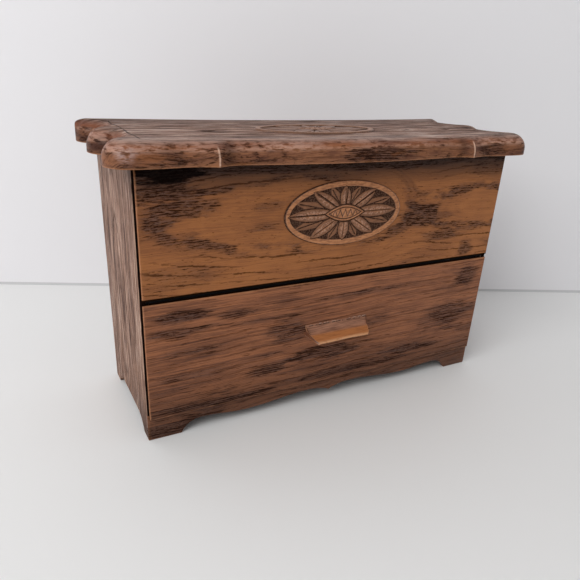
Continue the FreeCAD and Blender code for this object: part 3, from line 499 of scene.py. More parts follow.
# %% Pull
ROOT_TOP = 68.4
ROOT_UNDER = 60.4
ROOT_BACK = -1.4
ROOT_HALF = 26.9
TIP_HALF = 22.9
TAPER = 11.1
CORNER_RUN = 3.1
CORNER_CUT = 2.6
CURVE = 6
SLOPE = math.radians(23.5)
TIP_REACH = -14.5
TIP_THICKNESS = 1.4
TOP_POINTS = 34
STATIONS = 61
WEAR_START = 13.2
bend_y = -FRONT_PROUD - CURVE + CURVE * math.sin(SLOPE)
bend_z = ROOT_TOP - CURVE * math.cos(SLOPE)
tip_z = bend_z - (bend_y - TIP_REACH) * math.tan(SLOPE)


def pull_section():
    """Closed section in Y and Z: hollow arc, slope, half-round tip, underside, back."""
    turns = np.linspace(0, math.pi / 2 - SLOPE, 14)
    hollow_y = -FRONT_PROUD - CURVE + CURVE * np.cos(turns)
    hollow = np.stack([hollow_y, ROOT_TOP - CURVE * np.sin(turns)], axis=1)
    share = np.linspace(0, 1, 12)[1:, None]
    slope = hollow[-1] * (1 - share) + np.array([TIP_REACH, tip_z]) * share
    nose = np.linspace(math.pi / 2, -math.pi / 2, 11)[1:]
    radius = TIP_THICKNESS / 2
    tip = np.stack([TIP_REACH - radius * np.cos(nose), tip_z - radius + radius * np.sin(nose)], axis=1)
    under = tip[-1] * (1 - share) + np.array([-FRONT_PROUD, ROOT_UNDER]) * share
    inside = np.array([[ROOT_BACK, ROOT_UNDER], [ROOT_BACK, ROOT_TOP]])
    return np.concatenate([hollow, slope, tip, under, inside])


def pull_half_width(y):
    """Half width at a place: straight taper from root to tip, then a round corner."""
    taper = ROOT_HALF + (TIP_HALF - ROOT_HALF) * np.clip((-FRONT_PROUD - y) / TAPER, 0, 1)
    past = np.clip((TIP_REACH + FRONT_PROUD - y) / CORNER_RUN, 0, 1)
    return taper - CORNER_CUT * (1 - np.sqrt(np.clip(1 - past**2, 0, 1)))


section = pull_section()
stations = np.sin(np.linspace(-1, 1, STATIONS) * math.pi / 2)
half_width = pull_half_width(section[:, 0])
pull_x = stations[:, None] * half_width[None, :]
pull_y = np.broadcast_to(section[:, 0], pull_x.shape)
pull_z = np.broadcast_to(section[:, 1], pull_x.shape)
lift = ease((-pull_y - 6) / 8) * 0.25 * np.sin(pull_x * 0.13 + 0.6)
pull_points = np.stack([pull_x, pull_y + FRONT_SHIFT, pull_z + lift], axis=-1)
centres = pull_points[[0, -1]].mean(axis=1, keepdims=True)
caps = np.broadcast_to(centres, (2, pull_points.shape[1], 3))
pull_points = np.concatenate([caps[:1], pull_points, caps[1:]])
reach = np.concatenate([pull_y[:1], pull_y, pull_y[-1:]])
ends = np.abs(np.concatenate([stations[:1], stations, stations[-1:]]))[:, None] * np.ones_like(reach)
tip_wear = ease((-reach - WEAR_START) / TIP_THICKNESS)
on_top = (np.arange(len(section)) < TOP_POINTS)[None, :]
end_wear = 0.8 * ease((ends - 0.985) / 0.015) * on_top
# the end caps get painted shade
cap_shade = np.zeros_like(end_wear)
cap_shade[[0, -1]] = 1
marks = {"wear": np.maximum(tip_wear, end_wear), "reach": ease((-reach - FRONT_PROUD) / 12), "cap_shade": cap_shade}
pull_faces = grid_quads(*pull_points.shape[:2], around=True)
pull = new_piece("worn_pull", pull_points, pull_faces, marks, sharp=50)
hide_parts("drawer_pull")
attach(pull, "drawer")

# %% [markdown]
# The carcass walls, the plinth and the back are right in shape, but a moulded
# edge is never knife sharp. Each is copied, its loose triangles are merged and
# joined into whole faces, and a narrow bevel eases the edges.

# %% Eased walls
def eased_copy(node, name, width):
    """Copy of a solid with merged faces and a bevel of the given width in millimetres."""
    mesh = nodes[node].data.copy()
    mesh.name = name
    work = bmesh.new()
    work.from_mesh(mesh)
    bmesh.ops.remove_doubles(work, verts=work.verts, dist=0.000002)
    bmesh.ops.dissolve_limit(work, angle_limit=math.radians(0.5), verts=work.verts, edges=work.edges)
    work.to_mesh(mesh)
    work.free()
    mesh.shade_smooth()
    piece = new_object(name, mesh)
    bevel = piece.modifiers.new("eased", "BEVEL")
    bevel.width = width * MM
    bevel.segments = 3
    bevel.limit_method = "ANGLE"
    bevel.angle_limit = math.radians(40)
    bevel.harden_normals = True
    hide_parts(node)
    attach(piece, "carcass")
    print(name, len(mesh.polygons), "faces")


eased_copy("left_side_panel", "eased_left_side", 0.45)
eased_copy("right_side_panel", "eased_right_side", 0.45)
eased_copy("back_panel", "eased_back", 0.45)
eased_copy("front_plinth", "eased_plinth", 0.5)

# %% [markdown]
# A finish is a small network of shader nodes. Written node by node it is long
# and hard to follow, so two helpers let it read as sums: a Value wraps the
# output of a node, and an operator on it adds the Math node that works it out.

# %% Sums in the shader
class Value:
    """Output of a node that can be added, subtracted, multiplied and divided."""

    def __init__(self, finish, socket):
        self.finish = finish
        self.socket = socket

    def sum_with(self, operation, *others):
        """One Math node on this value and the others."""
        values = dict(enumerate((self, *others)))
        return self.finish.node("Math", {"operation": operation}, values)

    __add__ = __radd__ = partialmethod(sum_with, "ADD")
    __sub__ = partialmethod(sum_with, "SUBTRACT")
    __mul__ = __rmul__ = partialmethod(sum_with, "MULTIPLY")
    __truediv__ = partialmethod(sum_with, "DIVIDE")
    least = partialmethod(sum_with, "MINIMUM")
    most = partialmethod(sum_with, "MAXIMUM")
    size = partialmethod(sum_with, "ABSOLUTE")
    root = partialmethod(sum_with, "SQRT")
    sine = partialmethod(sum_with, "SINE")

    def __rsub__(self, other):
        return (self * -1) + other

    def rise(self, start, end):
        """Smooth step from 0 at start to 1 at end; start may be the larger."""
        values = {"Value": self, "From Min": start, "From Max": end}
        return self.finish.node("MapRange", {"interpolation_type": "SMOOTHSTEP"}, values)


class Finish:
    """One material, with helpers that add its nodes; place is X, Y and Z in millimetres."""

    def __init__(self, name):
        self.material = bpy.data.materials.new(name)
        self.material.use_nodes = True
        self.tree = self.material.node_tree
        self.shader = self.tree.nodes["Principled BSDF"]
        where = self.tree.nodes.new("ShaderNodeTexCoord").outputs["Object"]
        axes = self.tree.nodes.new("ShaderNodeSeparateXYZ")
        self.tree.links.new(where, axes.inputs[0])
        self.place = [Value(self, output) * 1000 for output in axes.outputs]

    def node(self, kind, settings=None, values=None, output=0):
        """Any node: settings first, then the values or links of its inputs."""
        node = self.tree.nodes.new("ShaderNode" + kind)
        for key, setting in (settings or {}).items():
            setattr(node, key, setting)
        for key, value in (values or {}).items():
            if isinstance(value, Value):
                self.tree.links.new(value.socket, node.inputs[key])
            else:
                node.inputs[key].default_value = value
        return Value(self, node.outputs[output])

    def noise(self, x, y, z, detail=2, roughness=0.5):
        """Cloudy value around 0.5 at a place given by three values."""
        place = self.node("CombineXYZ", None, {0: x, 1: y, 2: z})
        values = {"Vector": place, "Scale": 1, "Detail": detail, "Roughness": roughness}
        return self.node("TexNoise", None, values)

    def mix(self, share, first, second):
        """Colour between two colours."""
        values = {0: share, 6: as_colour(first), 7: as_colour(second)}
        return self.node("Mix", {"data_type": "RGBA"}, values, 2)

    def layers(self, colour, *veils):
        """A colour under veils, each of them a share and a colour."""
        for share, veil in veils:
            colour = self.mix(share, colour, veil)
        return colour

    def mark(self, name):
        """Value that the mesh carries under a name."""
        return self.node("Attribute", {"attribute_name": name}, None, 2)

    def set(self, **inputs):
        """Constants and links of the surface shader."""
        for key, value in inputs.items():
            socket = self.shader.inputs[key.replace("_", " ")]
            if isinstance(value, Value):
                self.tree.links.new(value.socket, socket)
            else:
                socket.default_value = as_colour(value)

    def relief(self, height, depth):
        """Bump whose height of 1 stands for depth in millimetres."""
        values = {"Height": height, "Distance": depth * MM, "Strength": 1}
        return self.node("Bump", None, values)

    def done(self):
        """The material, once its network is complete."""
        print(self.material.name, len(self.tree.nodes), "shader nodes")
        return self.material

    def lacquer(self, colour, gloss, height, depth, roughness=0.34):
        """Material of a dull ground under a satin lacquer that is missing where gloss is 0."""
        relief = self.relief(height, depth)
        self.set(Base_Color=colour, Normal=relief, Roughness=0.55, Specular_IOR_Level=0)
        self.set(Coat_Weight=gloss, Coat_Roughness=roughness, Coat_IOR=1.36)
        return self.done()


def as_colour(value):
    """Colour from screen values 0 to 255; anything that isn't a tuple stays as it is."""
    if not isinstance(value, tuple):
        return value
    linear = [c / 255 / 12.92 if c < 10.3 else ((c / 255 + 0.055) / 1.055) ** 2.4 for c in value]
    return (*linear, 1)


# %% [markdown]
# The chest is moulded with the grain of oak: short dark pores lie in rows along
# the length and crowd together in bands, where the dark wash gathers too, and
# the ground between them is streaked. The bands swerve slowly and flow round
# long ovals, like the figure of a flat-sawn board. A picture of wood would be
# quicker, but it would repeat and stretch; worked out from the place of each
# point, the grain fits every piece. Tones are what differs from board to board:
# two ground colours, how dark a lone pore is, how long the pores run, and how
# strong the streaks are. FINISHES will hold the finish of every piece.

# %% Moulded oak
Tones = namedtuple("Tones", "light dark bold run strands")
WASH = (66, 41, 33)
PORE = (26, 15, 12)
WORN = (176, 122, 86)
PORE_RIDGE_SHEEN = (128, 104, 98)
ROW_PITCH = 1.6
LINE_PITCH = 5.4
FINISHES = {}


def oak(finish, along, across, depth, flow, seed, wash, lines, tones, veils=()):
    """Colour, gloss and height of moulded oak.

    along runs with the grain and across over it, in millimetres. Pores lie in
    rows and crowd where a cloud or the wash is strong. Crisp long lines follow
    flow where lines is near 1. veils are pairs of a share and a colour laid over
    the ground before the pores.
    """
    noise = finish.noise
    swerve = noise(along * 0.012, across * 0.02, depth * 0.02 + seed) - 0.5
    crinkle = noise(along * 0.2, across * 0.45, depth * 0.4 + seed + 3) - 0.5
    row = across + swerve * 6 + crinkle
    cloud = noise(along * 0.016, flow * 0.09 + swerve * 2, seed + 17, 3, 0.6)
    crowd = (cloud.rise(0.55, 0.74) * 0.6 + wash).least(1)
    comb = (row * (2 * math.pi / ROW_PITCH) + swerve * 16).sine()
    broken = noise(along * (0.14 / tones.run), row * 1.2, depth * 1.2 + seed + 7, 3, 0.65)
    dash = (broken + comb * 0.06 + crowd * 0.165 - 0.69).rise(0, 0.06)
    between = ((flow + swerve * 9 + crinkle * 1.7) / LINE_PITCH).sum_with("PINGPONG", 0.5)
    lively = noise(along * 0.019, flow * 0.16, seed + 29).rise(0.38, 0.56)
    long_line = ((broken - 0.5) * 0.5 + 0.1 - between).rise(0, 0.07) * lively * lines
    fine = noise(along * 0.3, row * 2.6, depth * 2.6 + seed + 11, 2, 0.6)
    pore = (fine + crowd * 0.1 - 0.67).rise(0, 0.07) * (crowd * 0.5 + 0.35)
    cut = dash.most(long_line * 0.9).most(pore)
    fibre = noise(along * 0.035, row * 2.1, depth * 2.1 + seed + 23, 3, 0.7)
    shade = noise(along * 0.02, flow * 0.05, seed + 31, 3, 0.6)
    drift = noise(along * 0.011, flow * 0.2, seed + 37, 3, 0.65)
    strand = noise(along * 0.02, row * 1.05, depth * 1.05 + seed + 41, 4, 0.72)
    tone = shade.rise(0.3, 0.7) * 0.45 + (drift - 0.5) * 1.1 + (fibre - 0.46) * 1.9
    tone = (tone + (strand - 0.48) * tones.strands).most(0).least(1)
    # pale grey between the crowded pores: painted highlight on the ridges between them
    pore_ridge_sheen = crowd * (broken + comb * 0.04).rise(0.5, 0.38) * 0.26
    ink = cut * (crowd * (0.8 - tones.bold) + tones.bold)
    ground = finish.mix(tone, tones.light, tones.dark)
    colour = finish.layers(ground, *veils, (crowd * 0.66, WASH), (pore_ridge_sheen, PORE_RIDGE_SHEEN), (ink, PORE))
    gloss = (1 - cut) * (0.9 - crowd * 0.3)
    height = fibre * 0.35 - cut
    return colour, gloss, height


def spots(finish, along, across, places, seed):
    """Soft uneven ovals, for stains and for painted shade and sheen: (along, across, half length, half
    height, strength).
    """
    stir = finish.noise(along * 0.03, across * 0.2, seed, 4, 0.65) - 0.5
    total = 0
    for middle, level, half_length, half_height, strength in places:
        far = ((along - middle) / half_length).sum_with("POWER", 2)
        high = ((across - level) / half_height).sum_with("POWER", 2)
        reach = (far + high).root() + stir * 1.9
        total = reach.rise(1.15, 0.45) * strength + total
    return total


def worn_edges(finish, distance, seed, width=1.1):
    """Uneven wear that fades over a width from an edge, given the distance to it."""
    x, y, z = finish.place
    chips = finish.noise(x * 0.12, y * 0.12, z * 0.12 + seed, 3, 0.6)
    return (distance + (chips - 0.5) * width * 2.2).rise(width, 0)


def oval_flow(along, across, middle, level, stretch):
    """Distance in millimetres across the grain from the middle of a long oval."""
    far = ((along - middle) / stretch).sum_with("POWER", 2)
    return (far + (across - level).sum_with("POWER", 2)).root()


# %% [markdown]
# The two fronts and the plinth share one look, with the grain level. The upper
# front has a pale long oval behind the medallion and another at its right end,
# each inside a ring of crowded pores, a bough of pores above and crisp wavy
# lines below. The drawer is browner and more streaked. The stains are lists of
# ovals, which are quicker to adjust than a painted mask. Raised edges are
# rubbed lighter, so the finish needs the distance to each edge: the sides lean
# by one degree, which is a slope in a sum.
# Some ovals along the top of the upper front, strongest at its top left, are painted shadow under the lid
# rather than stain, and the edges that face the gaps beside and between the fronts get painted shade.

# %% Finish of the fronts
LEAN_SLOPE = math.tan(math.radians(1))
FRONT_HALF = 143.1


def front_finish(name, seed, span, face, places, look, lip, rubbed, slot_shading=1):
    """Oak of one front with its own stains and painted shade.

    span is its lowest and highest place and face the plane of its front. look is
    its figure, its tones, and its shade band: between which heights it is darkened,
    and how much. On the upper front that band is a painted shadow under the lid;
    on the drawer and plinth it only darkens them towards the bottom. lip is how
    high the painted shade of the gap climbs over its lower edge, rubbed how pale
    its edges are worn, and the last argument how dark the painted shade is on its
    edges behind the face.
    """
    figure, tones, shade_band = look
    low, high = span
    finish = Finish(name)
    x, y, z = finish.place
    flow, lines, crowd = figure(finish, x, z)
    stain_and_shade = spots(finish, x, z, places, seed)
    oak_colour, gloss, height = oak(finish, x, z, y, flow, seed, stain_and_shade + crowd, lines, tones)
    # where the ovals are strongest, at the top left under the lid, the colour turns almost black: painted
    # shadow of the lid
    black = (stain_and_shade - 0.95).rise(0, 1.1)
    side = (z * LEAN_SLOPE + FRONT_HALF) - x.size()
    inside = side.least(z - low)
    wear = worn_edges(finish, inside.least(high - z), seed) * y.rise(face + 2, face + 0.9)
    # above z = 150 the top edge lies under the lid, so it gets none of the painted shade of the gap
    shut_in = inside.least(high - z + z.rise(150, 160) * 9)
    # painted shade on the edges that face the gaps beside and below the front
    slot_shade = y.rise(face + 0.4, face + 1) * shut_in.rise(1.6, 0.6) * slot_shading
    slot_shade = slot_shade.most((z - low).rise(lip, lip - 0.5))
    colour = finish.layers(
        oak_colour,
        # painted shadow under the lid on the upper front; on the drawer and plinth, darker towards the
        # bottom
        (z.rise(*shade_band[:2]) * shade_band[2], (42, 26, 20)),
        (black * 0.92, (15, 8, 7)),
        (wear * rubbed, WORN),
        (slot_shade * 0.97, (8, 5, 4)),
    )
    return finish.lacquer(colour, gloss * (1 - slot_shade) * (1 - black * 0.8), height, 0.3)


# the ovals along the top and at the top left are painted shadow under the lid more than stain
UPPER_STAINS_AND_SHADE = [
    (-132, 186, 30, 8.5, 2.2), (0, 187, 170, 8, 0.9), (-133, 158, 13, 12, 0.5),
    (-60, 160, 14, 5, 0.45), (-62, 146.5, 15, 3.5, 0.55), (72, 143, 26, 10, 0.6),
    (119, 113, 9, 9, 0.8), (96, 127, 26, 4.5, 0.8), (134, 178, 24, 9, 0.5),
    (-128, 173, 27, 10, 1), (-122, 118, 32, 12, 0.35),
]
DRAWER_STAINS = [
    (-121, 91, 24, 4.6, 0.9), (-80, 87.5, 18, 4, 0.75), (-122, 80, 30, 4.5, 0.8),
    (-40, 68, 20, 12, 0.75), (-6, 43, 38, 7, 0.95), (-60, 37.5, 24, 3.5, 0.7),
    (127, 88, 14, 12, 0.85), (114, 57, 34, 12, 0.7), (78, 30, 34, 5, 0.8),
    (-118, 64, 24, 3, 0.6), (-50, 79, 50, 2.6, 0.5), (-95, 21, 50, 4, 0.7),
    (30, 88, 60, 3, 0.45), (-110, 46, 40, 3, 0.5), (20, 24, 70, 4, 0.5),
]


def upper_figure(finish, x, z):
    """Bands round two long ovals: pores crowd on a ring of each and on a bough above."""
    left = oval_flow(x, z, -10, 151.5, 5.2)
    right = oval_flow(x, z, 128, 148, 3.6)
    to_right = x.rise(34, 72)
    flow = left + (right + 7 - left) * to_right
    patchy = finish.noise(x * 0.035, z * 0.09, 5, 3, 0.6)
    ring = (flow + (patchy - 0.5) * 14 - 23.5).size().rise(5, 1)
    ring = ring * z.rise(170, 163).most(to_right)
    bough = z - 177 + ((x + 50) * -0.1).most(0) + (patchy - 0.5) * 8
    ring = ring.most(bough.size().rise(3.4, 1) * x.rise(20, -30))
    upright = (z - 151).size() / flow
    lines = flow.rise(24, 28) * upright.rise(0.55, 0.8) * (1 - to_right * (1 - to_right) * 4)
    return flow, lines, ring * patchy.rise(0.36, 0.56) * 0.85


def drawer_figure(finish, x, z):
    """Nearly level bands that climb a little to the right, and crowd towards the bottom."""
    flow = z - x * 0.03
    return flow, 0.7, z.rise(80, 22) * 0.25 + 0.08


upper_look = (upper_figure, Tones((165, 104, 57), (118, 70, 40), 0.7, 0.8, 0.6), (164, 186, 0.85))
drawer_look = (drawer_figure, Tones((161, 102, 67), (88, 52, 36), 0.6, 2.2, 2.4), (46, 14, 0.42))
plinth_stains = [(-125, 6, 25, 6, 1)]
FINISHES["upper_front_panel"] = front_finish(
    "upper_front_oak", 4, (104.8, 187.9), FACE_FRONT, UPPER_STAINS_AND_SHADE, upper_look, lip=1.6, rubbed=0.55
)
FINISHES["drawer_front"] = front_finish(
    "drawer_front_oak", 41, (17.2, 102), FACE_FRONT, DRAWER_STAINS, drawer_look, lip=0.7, rubbed=0.62
)
FINISHES["eased_plinth"] = front_finish(
    "plinth_oak", 77, (-5, 60), FRONT_SHIFT, plinth_stains, drawer_look, lip=0.7, rubbed=0.1, slot_shading=0
)

# %% [markdown]
# The sides have upright grain in pale and dark streaks. They are seen at a low
# angle, where the satin surface mirrors the pale room and looks greyer, so
# their own colour is kept almost as warm as the fronts. Their front arris is
# rubbed pale and the foot is dark. Towards the top they get a painted shadow of
# the lid, and the strip of their front edge inside the narrow gap beside the
# fronts gets painted shade.

# %% Finish of the sides and back
SIDE_TONES = Tones((160, 123, 102), (106, 76, 63), 0.65, 1.4, 1.6)


def broad_streaks(finish, along, across, depth, seed, width):
    """Long streaks about width millimetres across, as a cloudy value around 0.5."""
    return finish.noise(along * 0.02, across / width, depth / width + seed + 61, 5, 0.72)


def side_finish(name, across_axis, seed, streaky):
    """Oak with upright grain; across_axis names the level axis along the wall."""
    finish = Finish(name)
    x, y, z = finish.place
    across, depth = (y, x) if across_axis == "y" else (x, y)
    flow = oval_flow(z, across, 60, 12, 5.5)
    broad = broad_streaks(finish, z, across, depth, seed, 2.3)
    patchy = finish.noise(z * 0.012, across * 0.04, depth * 0.04 + seed).rise(0.3, 0.6)
    veils = [
        (broad.rise(0.49, 0.58) * (patchy * 0.4 + 0.6) * streaky, (82, 58, 50)),
        # pale streaks: partly paler grain, partly painted highlight on the raised grain
        (broad.rise(0.48, 0.39) * (1 - patchy * 0.5) * streaky, (212, 184, 168)),
        # painted shadow of the lid's overhang, darker towards the top
        (z.rise(150, 188) * 0.5, (84, 60, 50)),
        (z.rise(36, 6) * y.rise(-5, -40) * 0.8, (66, 45, 38)),
    ]
    wood, gloss, height = oak(finish, z, across, depth, flow, seed, 0.12, 0.8, SIDE_TONES, veils)
    chips = finish.noise(x * 0.1, y * 0.1, z * 0.1 + seed, 2, 0.6)
    rubbed = y.rise(-42.7, -43.2) * chips.rise(0.35, 0.55) * 0.6
    # painted shade on the strip of the front edge that lies in the narrow gap behind the fronts
    slot_shade = y.rise(-43.6, -43.88) * z.rise(16.2, 17.2)
    colour = finish.layers(wood, (rubbed, (206, 172, 148)), (slot_shade, (24, 14, 11)))
    return finish.lacquer(colour, gloss * (1 - slot_shade) * 0.35, height - broad * 0.8, 0.42)


FINISHES["eased_left_side"] = side_finish("left_side_oak", "y", 103, 1)
FINISHES["eased_right_side"] = side_finish("right_side_oak", "y", 127, 1)
FINISHES["eased_back"] = side_finish("back_oak", "x", 151, 0.45)

# %% [markdown]
# On the lid the grain runs from end to end over the top and round the bullnose.
# The rolled edge is rubbed to orange and pitted. Painted shade darkens the end
# lobes and the hollow just inside each arris. Painted highlights run along the
# arris and along a ridge of the roll, and a painted soft sheen lies along its
# upper part and on the front corner. The top is duller, with a painted grey
# reflection of the pale room that is paler towards the front and darker towards
# the back, and a thin scored line crosses it near each end. One material does
# both, because the mesh carries a value called edge that is 1 on the roll.

# %% Finish of the lid
LID_TONES = Tones((154, 103, 72), (98, 60, 46), 0.75, 1.6, 1.6)
LID_STAINS = [(14, -66, 34, 6, 1.1), (-128, -60, 12, 8, 0.5), (118, -62, 18, 6, 0.7)]
CORNER_SHEEN = [(-152.5, 195.5, 6.5, 5, 1)]
SCORE_X = 141.5


def lid_finish():
    """Oak of the lid, with its rubbed and pitted rolled edge and the scored lines."""
    finish = Finish("lid_oak")
    x, y, z = finish.place
    level = y + (z - 200) * 0.9
    edge = finish.mark("edge") * z.rise(203.6, 199.5)
    top = 1 - edge
    wash = spots(finish, x, level, LID_STAINS, 205) * edge
    broad = broad_streaks(finish, x, level, z, 201, 4.6)
    veils = [
        # painted grey reflection of the pale room over the top
        (top * 0.62, (156, 130, 118)),
        (broad.rise(0.49, 0.56) * top * 0.9, (78, 57, 50)),
        # pale streaks: partly paler grain, partly painted highlight on the raised grain
        (broad.rise(0.47, 0.39) * top * 0.85, (204, 182, 170)),
        # paler towards the front and darker towards the back: painted sheen and shade on the top
        (y.rise(-25, -58) * top * 0.42, (208, 186, 176)),
        (y.rise(-5, 50) * top * 0.3, (92, 80, 76)),
    ]
    figure = oval_flow(x, level, 10, -8, 6)
    wood, gloss, height = oak(
        finish, x, level, z * 0.3, figure, 201, wash + 0.2, top * 0.4 + 0.5, LID_TONES, veils
    )
    blotch = finish.noise(x * 0.032, y * 0.04, z * 0.12 + 9, 4, 0.65)
    pits = finish.noise(x * 0.17, y * 0.17, z * 0.62, 3, 0.62)
    grouped = finish.noise(x * 0.03, y * 0.03, z * 0.05 + 3).rise(0.42, 0.56)
    pit = pits.rise(0.55, 0.66) * edge * (grouped * 0.75 + 0.25)
    # painted shade on the lobes at both ends of the rolled edge, lighter on the front lobe
    ends = x.size().rise(138, 158) * (y.rise(-36, -20) * 0.65 + 0.35) * edge
    # a low ridge along the roll in the bump, with a painted highlight along it
    ridge_height = finish.noise(x * 0.017, y * 0.017, 31, 1) * 7 + 194.2
    ridge = (z - ridge_height).size().rise(1.6, 0.2) * edge
    sheen = finish.noise(x * 0.024, y * 0.03, 47).rise(0.42, 0.6) * z.rise(195, 199)
    corner = spots(finish, x, z, CORNER_SHEEN, 207) * y.rise(-20, -40)
    # painted highlight on the arris, on the lower part of the roll
    arris = finish.mark("arris").rise(0.35, 1) * z.rise(200.5, 198)
    within = (y + 2.5).size().rise(43, 42)
    line = (x.size() - SCORE_X).size().rise(0.6, 0.25) * z.rise(201, 202) * within
    colour = finish.layers(
        wood,
        (edge * blotch.rise(0.5, 0.64) * 0.4, (158, 98, 60)),
        (edge * blotch.rise(0.46, 0.34) * 0.5, (84, 50, 42)),
        (ends * (blotch.rise(0.6, 0.4) * 0.4 + 0.5), (72, 44, 35)),
        (edge * z.rise(197, 200) * 0.3, (140, 76, 48)),
        (pit * 0.7, (50, 29, 22)),
        (ridge * pits.rise(0.6, 0.46) * 0.42, (190, 142, 118)),
        (edge * sheen * pits.rise(0.6, 0.4) * 0.6, (190, 150, 132)),
        (edge * corner * pits.rise(0.6, 0.4) * 0.5, (186, 158, 152)),
        # painted shade in the hollow beside the arris
        (edge * finish.mark("valley_shade") * 0.5, (40, 23, 17)),
        (edge * arris * 0.85, (222, 182, 158)),
        (z.rise(189.5, 188.5) * 0.6, WORN),
        (line * 0.7, (48, 32, 26)),
    )
    height = height - pit * 1.1 + ridge * 0.9 - line * 1.5 - broad * 0.8 - blotch * edge * 2
    gloss = gloss * (1 - pit * 0.7) * (0.65 - top * 0.4)
    return finish.lacquer(colour, gloss, height, 0.55, 0.3)


FINISHES["shaped_lid"] = lid_finish()

# %% [markdown]
# The medallions were cast and then washed with dark stain, which stayed in the
# ground and the veins and was wiped off the high places. The mesh knows how
# deep each point lies, so it carries that depth as a value called hollow. Round
# the outer edge the same value carries a dark line, part stain in its groove and
# part painted shadow that is darkest at the left.

# %% Finish of the medallions
def carved_finish():
    """Wiped stains: dark in the hollows, warm on the rim and petals, with painted highlights on the
    crests.
    """
    finish = Finish("carved_oak")
    x, y, z = finish.place
    grain = finish.noise(x * 0.25, y * 1.1, z * 1.1, 3, 0.6)
    speck = finish.noise(x * 0.9, y * 0.9, z * 0.9, 2, 0.6)
    hollow = finish.mark("hollow")
    deep = hollow.rise(0.38, 0.8)
    # the paler high places of the petals: partly wiped stain, partly painted highlight
    crest = hollow.rise(0.3, 0.12) * hollow.rise(0.01, 0.06)
    ground = finish.mix(speck.rise(0.44, 0.6) * 0.7, (48, 31, 25), (106, 80, 66))
    colour = finish.layers(
        finish.mix(grain.rise(0.35, 0.7), (190, 130, 88), (144, 95, 64)),
        (hollow.rise(0.03, 0.14) * 0.6, (84, 58, 47)),
        (crest * speck.rise(0.42, 0.6) * 0.55, (204, 160, 136)),
        (z.rise(195, 200) * 0.5, (98, 78, 70)),
        ((deep + speck.rise(0.6, 0.72) * 0.25).least(1) * 0.95, ground),
    )
    return finish.lacquer(colour, 0.75 - deep * 0.75, grain * 0.5 + speck * 0.3, 0.15)


FINISHES["carved_front_medallion"] = carved_finish()
FINISHES["carved_lid_medallion"] = FINISHES["carved_front_medallion"]

# %% [markdown]
# Fingers have polished the pull: its lip is orange and glossier than the rest,
# its thin edge and its ends are rubbed pale, and the hollow root is still grey.

# %% Finish of the pull
SEAM_LEVEL = 67.3


def pull_finish():
    """Rubbed lip, pale edge and a duller root."""
    finish = Finish("pull_oak")
    x, y, z = finish.place
    grain = finish.noise(x * 0.09, y * 1.3, z * 1.3, 3, 0.6)
    chips = finish.noise(x * 0.3, y * 0.3, z * 0.3, 2, 0.6)
    lip = finish.mix(grain.rise(0.4, 0.75), (172, 110, 66), (138, 86, 52))
    seam = (z - SEAM_LEVEL).size().rise(0.55, 0.15) * chips.rise(0.44, 0.5)
    glint = (z - SEAM_LEVEL - 0.8).size().rise(0.35, 0.1) * chips.rise(0.52, 0.58)
    colour = finish.layers(
        finish.mix(grain.rise(0.35, 0.68), (160, 114, 90), (118, 80, 62)),
        (finish.mark("reach").rise(0.28, 0.55), lip),
        (finish.mark("wear") * chips.rise(0.15, 0.5) * 0.85, (204, 152, 112)),
        (seam * 0.85, PORE),
        (glint * 0.7, (208, 176, 156)),
        # painted shade on the end caps
        (finish.mark("cap_shade").rise(0.03, 0.14) * 0.9, (88, 52, 38)),
    )
    return finish.lacquer(colour, grain * 0.4 + 0.6, grain + chips * 0.4, 0.12, 0.3)


FINISHES["worn_pull"] = pull_finish()

# %% [markdown]
# Inside, the floor, the runners and the drawer box are plain brown moulding
# with a faint flow and fine scratches. Their edges that face the gap between the
# two fronts get painted shade, as dark as the gap looks. Hinges and screws are
# small brushed metal parts, so one function makes them in brass and in steel.

# %% Finish of the inside and of metal
def inside_finish():
    """Plain brown moulding with flow marks, fine scratches and painted shade on its front edge."""
    finish = Finish("plain_inside")
    x, y, z = finish.place
    flow = finish.noise(x * 0.02, y * 0.03, z * 0.03, 4, 0.6)
    scratch = finish.noise(x * 0.06, y * 2.4, z * 2.4, 2, 0.6)
    brown = finish.mix(flow.rise(0.35, 0.65), (96, 66, 50), (72, 48, 37))
    scratched = (scratch.rise(0.62, 0.74) * 0.4, (124, 92, 72))
    # painted shade on the front edges, which face the gap between the fronts
    colour = finish.layers(brown, scratched, (y.rise(-43, -43.8), (12, 8, 7)))
    relief = finish.relief(flow * 0.5 + scratch, 0.06)
    finish.set(Base_Color=colour, Roughness=0.6 + scratch * 0.15, Normal=relief, Specular_IOR_Level=0.12)
    return finish.done()


def metal_finish(name, bright, dull, roughness, grain_scale):
    """Small brushed metal part with patches of tarnish."""
    finish = Finish(name)
    x, y, z = finish.place
    brushed = finish.noise(x * 0.3, y * grain_scale, z * grain_scale, 2, 0.6)
    tarnish = finish.noise(x * 0.25, y * 0.25, z * 0.25, 4, 0.65)
    spot = tarnish.rise(0.48, 0.68)
    colour = finish.layers(bright, (brushed.rise(0.3, 0.7) * 0.4, dull), (spot * 0.5, dull))
    relief = finish.relief(brushed, 0.03)
    finish.set(Base_Color=colour, Metallic=1, Roughness=roughness + spot * 0.25, Normal=relief)
    return finish.done()


plain_finish = inside_finish()
brass_finish = metal_finish("aged_brass", (214, 178, 104), (132, 98, 52), 0.3, 3)
steel_finish = metal_finish("zinc_steel", (196, 196, 198), (120, 118, 114), 0.28, 4)

# %% [markdown]
# Solids that nothing replaced keep their exact mesh, and only get a finish: the
# screws steel, the hinges brass, and everything else the plain inside.

# %% Every piece gets its finish
for name, node in nodes.items():
    if not node.hide_render and name not in FINISHES:
        other = brass_finish if name.startswith("hinge_") else plain_finish
        FINISHES[name] = steel_finish if name.endswith("screws") else other
for name, finish in FINISHES.items():
    materials = bpy.data.objects[name].data.materials
    materials.clear()
    materials.append(finish)
print("pieces with a finish", len(FINISHES))
